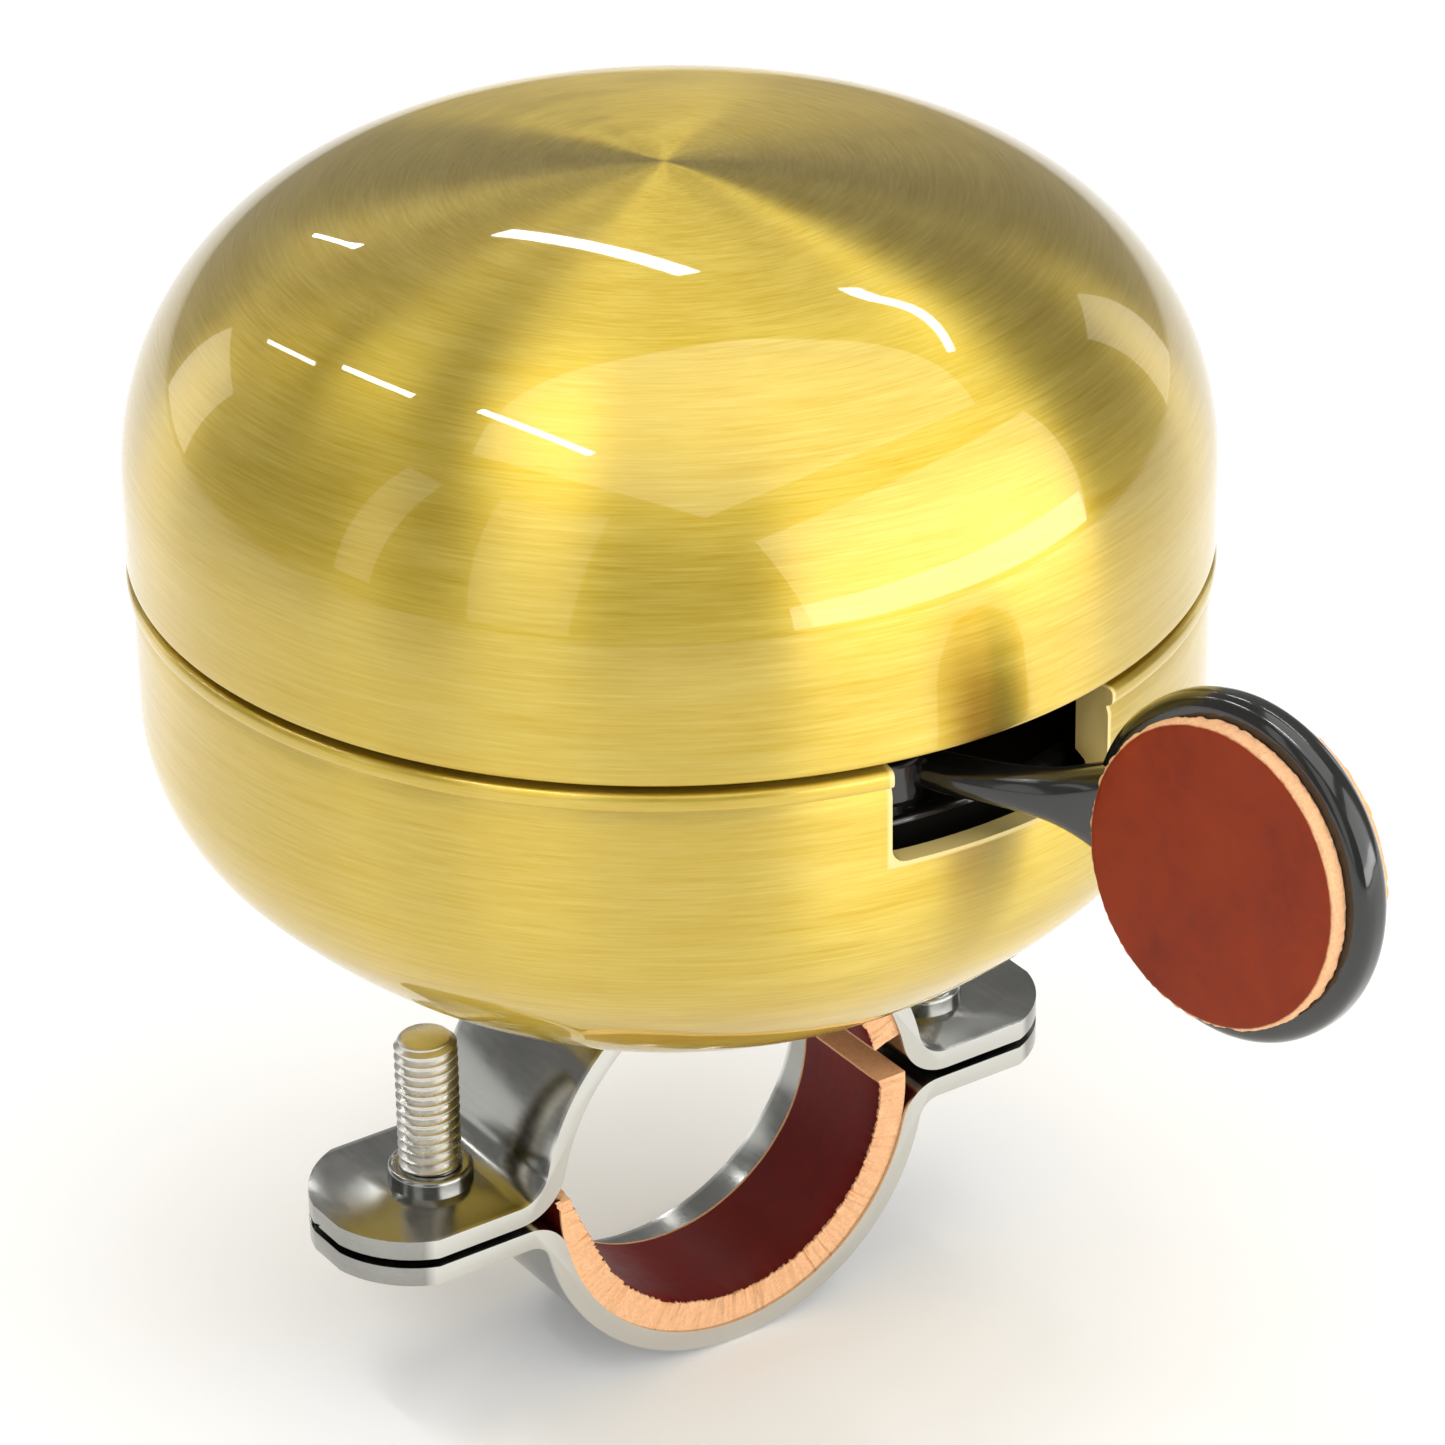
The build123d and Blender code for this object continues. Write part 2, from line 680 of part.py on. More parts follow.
with BuildPart() as upper_strap:
    with BuildSketch(Plane.XZ.offset(-strap_width / 2)) as upper_section:
        Circle(strap_outer)
        with Locations((0, strap_flat_z + 10)):
            Rectangle(40, 20, mode=Mode.SUBTRACT)
        with Locations((0, upper_flange_z + steel_thick / 2)):
            Rectangle(2 * flange_tip, steel_thick)
        with Locations((0, upper_flange_z - 20)):
            Rectangle(80, 40, mode=Mode.SUBTRACT)
        with BuildLine():
            inner_flat_z = strap_flat_z - steel_thick
            inner_flat_x = sqrt(liner_outer**2 - inner_flat_z**2)
            inner_foot_x = sqrt(liner_outer**2 - upper_flange_z**2)
            feet = [(inner_foot_x, upper_flange_z), (-inner_foot_x, upper_flange_z)]
            flat_ends = [(inner_flat_x, inner_flat_z), (-inner_flat_x, inner_flat_z)]
            ThreePointArc(feet[0], on_circle(liner_outer, 35), flat_ends[0])
            Line(*flat_ends)
            ThreePointArc(flat_ends[1], on_circle(liner_outer, 145), feet[1])
            Line(*reversed(feet))
        make_face(mode=Mode.SUBTRACT)
        outer_foot_x = sqrt(strap_outer**2 - (upper_flange_z + steel_thick) ** 2)
        outer_corners = [v for v in upper_section.vertices() if abs(abs(v.X) - outer_foot_x) < 0.05]
        fillet(outer_corners, bend_inner)
        inner_corners = [v for v in upper_section.vertices() if abs(abs(v.X) - inner_foot_x) < 0.02]
        fillet(inner_corners, bend_outer)
    extrude(amount=strap_width)
    with BuildSketch(Plane.XY.offset(upper_flange_z)) as upper_plan:
        with BuildLine():
            Polyline(*tip_outline, close=True)
        make_face()
        fillet([v for v in upper_plan.vertices() if abs(v.X) > flange_straight + 1], 2.4)
    extrude(amount=strap_flat_z + 1, mode=Mode.INTERSECT)
    # tapped collars drawn up out of the flanges
    with BuildSketch(Plane.XY.offset(upper_flange_z + steel_thick)):
        with Locations(*screw_places):
            Circle(collar_radius)
    extrude(amount=collar_height)
    collar_tops = upper_strap.faces().filter_by(GeomType.PLANE).filter_by(Axis.Z)
    collar_z = upper_flange_z + steel_thick + collar_height
    fillet([e for f in collar_tops if abs(f.center().Z - collar_z) < 0.01 for e in f.edges()], 0.35)
    with BuildSketch(Plane.XY.offset(upper_flange_z)):
        with Locations(*screw_places):
            Circle(screw_radius)
    extrude(amount=steel_thick + collar_height, mode=Mode.SUBTRACT)
    with BuildSketch(Plane.XY.offset(strap_flat_z - steel_thick)):
        Circle(bolt_radius + bolt_clearance)
    extrude(amount=steel_thick, mode=Mode.SUBTRACT)

with BuildPart() as lower_strap:
    with BuildSketch(Plane.XZ.offset(-strap_width / 2)) as lower_section:
        top_z = lower_flange_z + steel_thick
        Circle(strap_outer)
        with Locations((0, lower_flange_z + steel_thick / 2)):
            Rectangle(2 * flange_tip, steel_thick)
        Circle(liner_outer, mode=Mode.SUBTRACT)
        with Locations((0, top_z + 20)):
            Rectangle(80, 40, mode=Mode.SUBTRACT)
        lower_outer_x = sqrt(strap_outer**2 - lower_flange_z**2)
        lower_inner_x = sqrt(liner_outer**2 - top_z**2)
        outer_corners = [v for v in lower_section.vertices() if abs(abs(v.X) - lower_outer_x) < 0.05]
        fillet(outer_corners, lower_bend_inner)
        inner_corners = [v for v in lower_section.vertices() if abs(abs(v.X) - lower_inner_x) < 0.02]
        fillet(inner_corners, lower_bend_outer)
    extrude(amount=strap_width)
    with BuildSketch(Plane.XY.offset(-strap_outer - 1)) as lower_plan:
        with BuildLine():
            Polyline(*tip_outline, close=True)
        make_face()
        fillet([v for v in lower_plan.vertices() if abs(v.X) > flange_straight + 1], 2.4)
    extrude(amount=strap_outer + 2, mode=Mode.INTERSECT)
    with BuildSketch(Plane.XY.offset(lower_flange_z)):
        with Locations(*screw_places):
            Circle(screw_radius + 0.2)
    extrude(amount=steel_thick, mode=Mode.SUBTRACT)

# the liners sit flush with the near edge and leave bare steel at the far one
liner_near = -strap_width / 2 + 0.25
liner_far = strap_width / 2 - 4.2
with BuildPart() as upper_liner:
    with BuildSketch(Plane.XZ.offset(-liner_far)):
        with BuildLine():
            sector_edges(bar_radius, liner_outer, 16, 112)
        make_face()
        with Locations((0, strap_flat_z - steel_thick + 5)):
            Rectangle(40, 10, mode=Mode.SUBTRACT)
    extrude(amount=liner_far - liner_near)
    with BuildSketch(Plane.XY.offset(bar_radius - 4)):
        Circle(bolt_head_radius + 0.3)
    extrude(amount=8, mode=Mode.SUBTRACT)

with BuildPart() as lower_liner:
    with BuildSketch(Plane.XZ.offset(-liner_far)):
        with BuildLine():
            sector_edges(bar_radius, liner_outer, -182, 3)
        make_face()
    extrude(amount=liner_far - liner_near)

with BuildPart() as clamp_screws:
    with BuildSketch(Plane.XY.offset(lower_flange_z)):
        with Locations(*screw_places):
            Circle(screw_radius)
    extrude(amount=screw_top_z - lower_flange_z)
    chamfer(clamp_screws.edges().group_by(Axis.Z)[-1], 0.45)
    with BuildSketch(Plane.XY.offset(lower_flange_z - screw_head_height)):
        with Locations(*screw_places):
            Circle(screw_head_radius)
    extrude(amount=screw_head_height)
    fillet(clamp_screws.edges().group_by(Axis.Z)[0], 1.1)
    with BuildSketch(Plane.XY.offset(lower_flange_z - screw_head_height)):
        with Locations(*screw_places):
            Rectangle(4.0, 0.9)
            Rectangle(0.9, 4.0)
    extrude(amount=1.3, mode=Mode.SUBTRACT)

pieces = {
    "upper_gong": upper_gong,
    "upper_gong_boss": upper_gong_boss,
    "upper_gong_lug": upper_gong_lug,
    "lower_gong": lower_gong,
    "lower_gong_lug": lower_gong_lug,
    "base_bolt": base_bolt,
    "base_washer": base_washer,
    "gong_seat_washer": gong_seat_washer,
    "centre_post": centre_post,
    "mechanism_tray": mechanism_tray,
    "tray_nut": tray_nut,
    "rotor_bush": rotor_bush,
    "rotor": rotor,
    "striker_pins": striker_pins,
    "striker_washer_a": striker_washer_a,
    "striker_washer_b": striker_washer_b,
    "lock_washer": lock_washer,
    "post_lock_nut": post_lock_nut,
    "thumb_lever": thumb_lever,
    "lever_leather_front": lever_leather_front,
    "lever_leather_back": lever_leather_back,
    "lever_pivot_pin": lever_pivot_pin,
    "lever_clip": lever_clip,
    "lever_return_spring": lever_return_spring,
    "idler_gear": idler_gear,
    "idler_pin": idler_pin,
    "idler_clip": idler_clip,
    "upper_strap": upper_strap,
    "lower_strap": lower_strap,
    "upper_liner": upper_liner,
    "lower_liner": lower_liner,
    "clamp_screws": clamp_screws,
}
for name, piece in pieces.items():
    piece.part.label = name
    export_step(piece.part, "parts/" + name + ".step")
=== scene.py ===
from math import acos, atan2, cos, degrees, pi, radians, sin, sqrt, tan

import bmesh
import bpy
from mathutils import Matrix, Vector


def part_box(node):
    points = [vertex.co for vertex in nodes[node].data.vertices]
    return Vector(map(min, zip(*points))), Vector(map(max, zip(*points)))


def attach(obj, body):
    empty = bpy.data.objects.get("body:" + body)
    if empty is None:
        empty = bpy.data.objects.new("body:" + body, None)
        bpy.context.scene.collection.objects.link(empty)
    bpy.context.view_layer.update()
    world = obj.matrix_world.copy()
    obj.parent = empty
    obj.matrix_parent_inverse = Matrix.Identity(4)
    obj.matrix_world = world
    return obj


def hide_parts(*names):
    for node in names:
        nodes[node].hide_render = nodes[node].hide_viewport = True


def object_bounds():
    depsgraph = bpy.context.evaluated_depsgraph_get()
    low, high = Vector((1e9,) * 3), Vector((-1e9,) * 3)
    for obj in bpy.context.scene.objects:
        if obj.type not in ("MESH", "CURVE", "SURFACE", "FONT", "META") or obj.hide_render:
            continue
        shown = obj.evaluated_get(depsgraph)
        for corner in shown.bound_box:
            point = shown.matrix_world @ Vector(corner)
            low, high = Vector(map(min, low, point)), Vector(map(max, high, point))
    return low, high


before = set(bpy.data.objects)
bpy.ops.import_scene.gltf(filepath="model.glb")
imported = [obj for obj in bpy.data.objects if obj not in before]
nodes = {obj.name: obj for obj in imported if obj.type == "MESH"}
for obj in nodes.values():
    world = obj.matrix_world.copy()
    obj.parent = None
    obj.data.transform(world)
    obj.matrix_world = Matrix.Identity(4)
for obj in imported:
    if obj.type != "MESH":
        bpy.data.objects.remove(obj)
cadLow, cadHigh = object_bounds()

mm = 0.001
tight = 0.01 * mm        # how close two places are to count as one
print("frame loaded,", len(nodes), "nodes")


def pickObject(*pieces):
    if bpy.context.object and bpy.context.object.mode == "EDIT":
        bpy.ops.object.mode_set(mode="OBJECT")
    bpy.ops.object.select_all(action="DESELECT")
    for piece in pieces:
        piece.select_set(True)
    bpy.context.view_layer.objects.active = pieces[-1] if pieces else None


def settle(piece, placement=None):
    # bakes a placement into the mesh, so that the object sits at the origin
    pickObject(piece)
    if placement is not None:
        piece.matrix_world = placement @ piece.matrix_world
    bpy.ops.object.transform_apply(location=True, rotation=True, scale=True)


def openEdit(piece):
    pickObject(piece)
    bpy.ops.object.mode_set(mode="EDIT")
    bpy.ops.mesh.select_all(action="DESELECT")


def closeEdit():
    bpy.ops.object.mode_set(mode="OBJECT")


def pick(kind, test):
    # in edit mode, selects the corners, edges or faces that pass the test
    bpy.ops.mesh.select_all(action="DESELECT")
    bpy.ops.mesh.select_mode(type=kind)
    shape = bmesh.from_edit_mesh(bpy.context.object.data)
    found = 0
    for item in {"VERT": shape.verts, "EDGE": shape.edges, "FACE": shape.faces}[kind]:
        if test(item):
            item.select_set(True)
            found += 1
    shape.select_flush_mode()
    bmesh.update_edit_mesh(bpy.context.object.data)
    return found


def middle(item):
    # centre of an edge or a face
    total = Vector()
    for corner in item.verts:
        total += corner.co
    return total / len(item.verts)


def modify(piece, kind, **settings):
    pickObject(piece)
    modifier = piece.modifiers.new(kind.title(), kind)
    for key, value in settings.items():
        setattr(modifier, key, value)
    bpy.ops.object.modifier_apply(modifier=modifier.name)


def carve(piece, *tools, operation="DIFFERENCE"):
    for tool in tools:
        modify(piece, "BOOLEAN", object=tool, operation=operation, solver="EXACT")
        bpy.data.objects.remove(tool)


def softenEdges(piece, width, segments, angle):
    modify(piece, "BEVEL", width=width, segments=segments, limit_method="ANGLE",
           angle_limit=radians(angle), use_clamp_overlap=True)


def arc(centre, radius, start, end, steps):
    # points of an arc, angles in radians from the first axis
    turns = [start + (end - start) * i / steps for i in range(steps + 1)]
    return [(centre[0] + radius * cos(t), centre[1] + radius * sin(t)) for t in turns]


def turned(name, outline, segments=96, solidStart=False, closed=False):
    # a ring drawn out through the outline's (radius, height) points, as on a lathe
    pickObject()
    radius, height = outline[0]
    fill = "TRIFAN" if solidStart else "NOTHING"
    bpy.ops.mesh.primitive_circle_add(vertices=segments, radius=radius, fill_type=fill,
                                      location=(0, 0, height))
    piece = bpy.context.object
    piece.name = name
    settle(piece)
    openEdit(piece)
    pick("EDGE", lambda edge: len(edge.link_faces) < 2)
    for nextRadius, nextHeight in outline[1:] + (outline[:1] if closed else []):
        step = (0, 0, nextHeight - height)
        bpy.ops.mesh.extrude_edges_move(TRANSFORM_OT_translate={"value": step})
        if nextRadius < 1e-7:
            bpy.ops.mesh.merge(type="CENTER")
            break
        scale = nextRadius / radius
        bpy.ops.transform.resize(value=(scale, scale, 1), center_override=(0, 0, nextHeight))
        radius, height = nextRadius, nextHeight
    bpy.ops.mesh.select_all(action="SELECT")
    bpy.ops.mesh.remove_doubles(threshold=1e-6)
    bpy.ops.mesh.normals_make_consistent(inside=False)
    closeEdit()
    return piece


def drawnLine(name, points):
    # a line of corners, drawn by extruding one corner from point to point
    pickObject()
    bpy.ops.mesh.primitive_plane_add(size=mm)
    piece = bpy.context.object
    piece.name = name
    openEdit(piece)
    bpy.ops.mesh.select_all(action="SELECT")
    bpy.ops.mesh.merge(type="CENTER")
    place = Vector()
    for i, point in enumerate(points):
        step = Vector(point) - place
        if i == 0:
            bpy.ops.transform.translate(value=step)
        else:
            bpy.ops.mesh.extrude_vertices_move(TRANSFORM_OT_translate={"value": step})
        place = Vector(point)
    closeEdit()
    return piece


def cuttingBox(size, centre):
    pickObject()
    bpy.ops.mesh.primitive_cube_add(size=1, location=centre)
    box = bpy.context.object
    box.scale = size
    settle(box)
    return box


def cadCopy(node, name):
    # a merged copy of a CAD node's mesh, with its flat faces made whole
    mesh = nodes[node].data.copy()
    piece = bpy.data.objects.new(name, mesh)
    bpy.context.scene.collection.objects.link(piece)
    openEdit(piece)
    bpy.ops.mesh.select_all(action="SELECT")
    bpy.ops.mesh.remove_doubles(threshold=2e-6)
    bpy.ops.mesh.customdata_custom_splitnormals_clear()
    bpy.ops.mesh.dissolve_limited(angle_limit=radians(0.6))
    closeEdit()
    return piece


def finishPiece(piece, finish, body, slotName, *replaced, smooth=35):
    pickObject(piece)
    bpy.ops.object.shade_smooth_by_angle(angle=radians(smooth))
    piece.data.name = piece.name
    piece.data.materials.clear()
    piece.data.materials.append(finish)
    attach(piece, body)
    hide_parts(*replaced)


class Field:
    # one socket of a shader, which takes part in sums
    def __init__(self, paint, socket):
        self.paint = paint
        self.socket = socket

    def out(self, name):
        return Field(self.paint, self.socket.node.outputs[name])

    def calc(self, operation, *others, clamp=False):
        inputs = dict(enumerate((self,) + others))
        return self.paint.node("ShaderNodeMath", {"operation": operation, "use_clamp": clamp}, inputs)

    def __add__(self, other):
        return self.calc("ADD", other)

    def __mul__(self, other):
        return self.calc("MULTIPLY", other)

    def __sub__(self, other):
        return self.calc("SUBTRACT", other)

    def __rsub__(self, other):
        return self.paint.node("ShaderNodeMath", {"operation": "SUBTRACT"}, {0: other, 1: self})

    def __truediv__(self, other):
        return self.calc("DIVIDE", other)

    def __pow__(self, other):
        return self.calc("POWER", other)

    __radd__ = __add__
    __rmul__ = __mul__


class Paint:
    # a material with its shader's fixed values, and the ways to add nodes to it
    def __init__(self, name, fixed):
        self.material = bpy.data.materials.new(name)
        self.material.use_nodes = True
        self.tree = self.material.node_tree
        self.shader = self.tree.nodes["Principled BSDF"]
        for key, value in fixed.items():
            self.shader.inputs[key].default_value = value
        self.place = self.node("ShaderNodeTexCoord", {}, {}, "Object")

    def node(self, kind, settings, inputs, output=0):
        made = self.tree.nodes.new(kind)
        for key, value in settings.items():
            setattr(made, key, value)
        for key, value in inputs.items():
            if isinstance(value, Field):
                self.tree.links.new(value.socket, made.inputs[key])
            else:
                made.inputs[key].default_value = value
        return Field(self, made.outputs[output])

    def feed(self, links):
        for key, value in links.items():
            self.tree.links.new(value.socket, self.shader.inputs[key])

    def noise(self, vector, scale, detail=3.0, rough=0.55, **more):
        inputs = {"Vector": vector, "Scale": scale, "Detail": detail, "Roughness": rough, **more}
        return self.node("ShaderNodeTexNoise", {}, inputs, "Fac")

    def cells(self, vector, scale):
        return self.node("ShaderNodeTexVoronoi", {}, {"Vector": vector, "Scale": scale}, "Distance")

    def spread(self, value, low, high, newLow=0.0, newHigh=1.0):
        # value's range from low to high, stretched to a new one and held inside it
        inputs = {"Value": value, "From Min": low, "From Max": high,
                  "To Min": newLow, "To Max": newHigh}
        return self.node("ShaderNodeMapRange", {"clamp": True}, inputs, "Result")

    def tint(self, amount, first, second):
        # sockets 6 and 7 of a Mix node are its colours, and output 2 is the mixed one
        return self.node("ShaderNodeMix", {"data_type": "RGBA"}, {0: amount, 6: first, 7: second}, 2)

    def vector(self, x, y, z):
        return self.node("ShaderNodeCombineXYZ", {}, {"X": x, "Y": y, "Z": z})

    def axes(self):
        split = self.node("ShaderNodeSeparateXYZ", {}, {"Vector": self.place}, "X")
        return split, split.out("Y"), split.out("Z")

    def bump(self, height, strength, distance, under=None):
        inputs = {"Height": height, "Strength": strength, "Distance": distance}
        if under is not None:
            inputs["Normal"] = under
        return self.node("ShaderNodeBump", {}, inputs, "Normal")


def shade(colour, factor):
    # a colour made lighter or darker
    return tuple(min(1.0, channel * factor) for channel in colour[:3]) + (1.0,)


brassLook = {
    "pale": (0.785, 0.605, 0.125, 1.0),
    "deep": (0.60, 0.405, 0.022, 1.0),
    "olive": (0.45, 0.365, 0.022, 1.0),
    # cut: pale bare brass for the notch's cut faces, partly a painted highlight of their rounded filed edge
    "cut": (0.92, 0.74, 0.30, 1.0),
    "streakWidth": 0.24 * mm,
    "streakTurns": 5.0,
    "roughness": (0.33, 0.43),
    "grooveDepth": 0.03 * mm,
}


def brushedBrass(name, slope, fixed, relief=0.05, cutMask=None):
    # slope is +1 where the wall runs down and out from the pole, and -1 where it runs up and out
    paint = Paint(name, {"Metallic": 1.0, **fixed})
    x, y, z = paint.axes()
    reach = (x * x + y * y + 1e-10) ** 0.5
    along = (reach - z * slope) / brassLook["streakWidth"]
    turnX = x / reach * brassLook["streakTurns"]
    turnY = y / reach * brassLook["streakTurns"]
    fine = paint.noise(paint.vector(turnX, turnY, along), 1.0, 4.0, 0.72)
    groove = paint.noise(paint.vector(turnX, turnY, along * 0.8), 1.0, 1.0, 0.5)
    broad = paint.noise(paint.vector(turnX * 0.5, turnY * 0.5, along * 0.11), 1.0, 3.0, 0.6)
    cloud = paint.noise(paint.place, 55.0, 2.0, 0.5)
    streak = paint.spread(fine * 0.65 + broad * 0.35, 0.34, 0.66)
    colour = paint.tint(streak, brassLook["deep"], brassLook["pale"])
    colour = paint.tint(paint.spread(cloud, 0.45, 0.75, 0.0, 0.22), colour, brassLook["olive"])
    low, high = brassLook["roughness"]
    # where cutMask is 1 the brass turns pale and less metallic; on the lower gong this is a painted highlight
    # on the notch's cut faces and filed edge
    if cutMask:
        cut = cutMask(paint)
        colour = paint.tint(cut, colour, brassLook["cut"])
        paint.feed({"Metallic": 1 - cut * 0.85})
    paint.feed({
        "Base Color": colour,
        "Roughness": paint.spread(broad * 0.5 + fine * 0.5, 0.3, 0.7, low, high),
        "Normal": paint.bump(groove, relief, brassLook["grooveDepth"]),
    })
    return paint.material


lacquer = {
    "Anisotropic": 0.95,
    "Anisotropic Rotation": 0.25,
    "Coat Weight": 1.0,
    "Coat Roughness": 0.025,
    "Coat IOR": 1.52,
    "Coat Tint": (1.0, 0.985, 0.90, 1.0),
}
upperBrass = brushedBrass("lacquered brass, upper", 1.0, lacquer)
turnedShine = {"Anisotropic": 0.4, "Anisotropic Rotation": 0.25}
plainBrass = brushedBrass("plain turned brass", 1.0, turnedShine, relief=0.2)


def metal(name, tint, roughness, scratch=0.25, pits=0.1, grain=(1.0, 1.0, 1.0), highlightEdgeHalfWidth=None):
    # bare or plated metal with fine scratches, worn patches and small pits
    # the last argument is the half width of a strap, whose two cut edges get a painted highlight: they are
    # painted paler than its faces
    paint = Paint(name, {"Metallic": 1.0})
    x, y, z = paint.axes()
    run = paint.vector(x * grain[0], y * grain[1], z * grain[2])
    fine = paint.noise(run, 2600.0, 4.0, 0.7)
    worn = paint.noise(paint.place, 190.0, 4.0, 0.6)
    stain = paint.noise(paint.place, 60.0, 2.0, 0.5)
    dots = paint.spread(paint.cells(paint.place, 900.0), 0.0, 0.22, 1.0, 0.0)
    patchy = paint.spread(fine * 0.5 + worn * 0.5, 0.35, 0.65)
    colour = paint.tint(patchy, shade(tint, 0.86), shade(tint, 1.06))
    colour = paint.tint(paint.spread(stain, 0.5, 0.8, 0.0, 0.3), colour, shade(tint, 0.72))
    # painted highlight: the strap's two cut edges are made paler than its faces
    if highlightEdgeHalfWidth:
        edge = paint.spread(y.calc("ABSOLUTE"), highlightEdgeHalfWidth - 0.4 * mm, highlightEdgeHalfWidth - 0.1 * mm)
        colour = paint.tint(edge, colour, shade(tint, 1.9))
    rough = paint.spread(worn, 0.3, 0.7, roughness * 0.75, roughness * 1.3)
    relieved = paint.bump(fine, scratch, 0.02 * mm)
    paint.feed({
        "Base Color": colour,
        "Roughness": rough + paint.spread(fine, 0.4, 0.8, 0.0, 0.05),
        "Normal": paint.bump(dots, pits, -0.02 * mm, relieved),
    })
    return paint.material


# the straps' cut edges get a painted highlight
strapSteel = metal("polished strap steel", (0.34, 0.34, 0.32, 1.0), 0.17, 0.05, 0.03,
                   grain=(1.0, 0.12, 1.0), highlightEdgeHalfWidth=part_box("lower_strap")[1].y)
screwSteel = metal("bright nickel plated screw", (0.70, 0.68, 0.63, 1.0), 0.27, 0.08, 0.05)
zincSteel = metal("zinc plated steel", (0.60, 0.62, 0.64, 1.0), 0.34, 0.25, 0.15)
castZinc = metal("die cast zinc", (0.42, 0.42, 0.42, 1.0), 0.52, 0.5, 0.5)
springSteel = metal("oiled spring wire", (0.36, 0.35, 0.33, 1.0), 0.3, 0.2, 0.1,
                    grain=(1.0, 1.0, 0.2))
bronze = metal("oiled bronze", (0.60, 0.38, 0.18, 1.0), 0.36, 0.25, 0.3)


def moulded(name, tint, roughness, grainSize, relief, coat=0.0, marks=0.3):
    # moulded plastic or rubber: fine orange peel, faint flow marks and handling marks
    paint = Paint(name, {"Coat Weight": coat, "Coat Roughness": 0.05, "IOR": 1.5})
    peel = paint.noise(paint.place, 1.0 / grainSize, 3.0, 0.5)
    flow = paint.noise(paint.place, 160.0, 3.0, 0.6)
    handled = paint.noise(paint.place, 420.0, 5.0, 0.7)
    colour = paint.tint(paint.spread(flow, 0.3, 0.7), shade(tint, 0.8), shade(tint, 1.35))
    rough = paint.spread(handled, 0.35, 0.75, roughness * 0.8, roughness * (1.1 + marks))
    relieved = paint.bump(peel, relief, 0.03 * mm)
    paint.feed({"Base Color": colour, "Roughness": rough, "Normal": relieved})
    return paint.material


blackPlastic = moulded("glossy black plastic", (0.008, 0.008, 0.007, 1.0), 0.16, 0.45 * mm, 0.10, coat=0.6)
gearPlastic = moulded("ivory gear plastic", (0.62, 0.56, 0.42, 1.0), 0.38, 0.2 * mm, 0.2)
rubber = moulded("black rubber", (0.02, 0.02, 0.02, 1.0), 0.62, 0.12 * mm, 0.4)

feltLook = {"dark": (0.09, 0.09, 0.085, 1.0), "pale": (0.26, 0.25, 0.23, 1.0), "nap": 0.15 * mm}


def feltFinish():
    paint = Paint("wool felt", {"Sheen Weight": 0.5, "Sheen Roughness": 0.5})
    fibres = paint.noise(paint.place, 3800.0, 6.0, 0.75, Distortion=2.5)
    clumps = paint.noise(paint.place, 700.0, 3.0, 0.6)
    nap = fibres * 0.6 + clumps * 0.4
    paint.feed({
        "Base Color": paint.tint(paint.spread(nap, 0.35, 0.65), feltLook["dark"], feltLook["pale"]),
        "Roughness": paint.spread(fibres, 0.3, 0.7, 0.85, 1.0),
        "Normal": paint.bump(nap, 0.7, feltLook["nap"]),
    })
    return paint.material


felt = feltFinish()


def leather(name, face, dark, raw, gloss, cutMask):
    # a smooth dyed face and a raw, fibrous cut edge, where cutMask(paint) is 1
    paint = Paint(name, {"Specular IOR Level": 0.16})
    pores = paint.cells(paint.place, 1500.0)
    grain = paint.noise(paint.place, 900.0, 5.0, 0.65)
    dye = paint.noise(paint.place, 130.0, 3.0, 0.55)
    fibres = paint.noise(paint.place, 2600.0, 6.0, 0.8, Distortion=1.5)
    ragged = paint.noise(paint.place, 800.0, 4.0, 0.7)
    cut = paint.spread(cutMask(paint) + (ragged - 0.5) * 0.5, 0.35, 0.65)
    skin = paint.tint(paint.spread(dye, 0.3, 0.7), dark, face)
    skin = paint.tint(paint.spread(grain, 0.35, 0.65, 0.0, 0.35), skin, shade(face, 1.15))
    flesh = paint.tint(paint.spread(fibres, 0.3, 0.7), shade(raw, 0.8), shade(raw, 1.3))
    height = (grain * 0.6 + pores * 0.4) * (1 - cut) + fibres * cut * 3.0
    rough = paint.spread(grain, 0.3, 0.7, gloss, gloss + 0.12)
    paint.feed({
        "Base Color": paint.tint(cut, skin, flesh),
        "Roughness": rough * (1 - cut) + cut * 0.9,
        "Normal": paint.bump(height, 0.35, 0.07 * mm),
    })
    return paint.material


upperGongShape = {
    "crown": 92.0 * mm,
    "shoulder": 17.1 * mm,
    "wall": 1.4 * mm,
    "rimRound": 0.35 * mm,
    "segments": 256,
    "step": 0.9 * mm,
}


def makeUpperGong():
    # rings from the rim up the straight wall, over the shoulder and in to the pole
    s = upperGongShape
    low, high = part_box("upper_gong")
    radius = high.x
    crownZ = high.z - s["crown"]
    shoulderX = radius - s["shoulder"]
    shoulderZ = crownZ + sqrt((s["crown"] - s["shoulder"]) ** 2 - shoulderX**2)
    joint = atan2(shoulderZ - crownZ, shoulderX)
    wallSteps = max(2, round((shoulderZ - low.z) / s["step"]))
    wall = [(radius, low.z + (shoulderZ - low.z) * i / wallSteps) for i in range(wallSteps)]
    shoulderSteps = round(s["shoulder"] * joint / s["step"])
    shoulder = arc((shoulderX, shoulderZ), s["shoulder"], 0, joint, shoulderSteps)
    crownSteps = round(s["crown"] * (pi / 2 - joint) / s["step"])
    crown = arc((0, crownZ), s["crown"], joint, pi / 2, crownSteps)
    crown[-1] = (0, high.z)
    gong = turned("gongUpper", wall + shoulder[:-1] + crown, s["segments"])
    modify(gong, "SOLIDIFY", thickness=s["wall"], offset=-1, use_even_offset=True)
    openEdit(gong)
    # the rim's inner and outer edges
    pick("EDGE", lambda edge: all(abs(corner.co.z - low.z) < 2 * tight for corner in edge.verts)
         and abs(edge.verts[0].co.xy.length - edge.verts[1].co.xy.length) < 2 * tight)
    bpy.ops.mesh.bevel(offset=s["rimRound"], segments=4, affect="EDGES")
    closeEdit()
    finishPiece(gong, upperBrass, "bell_body", "lacquered_brass", "upper_gong")


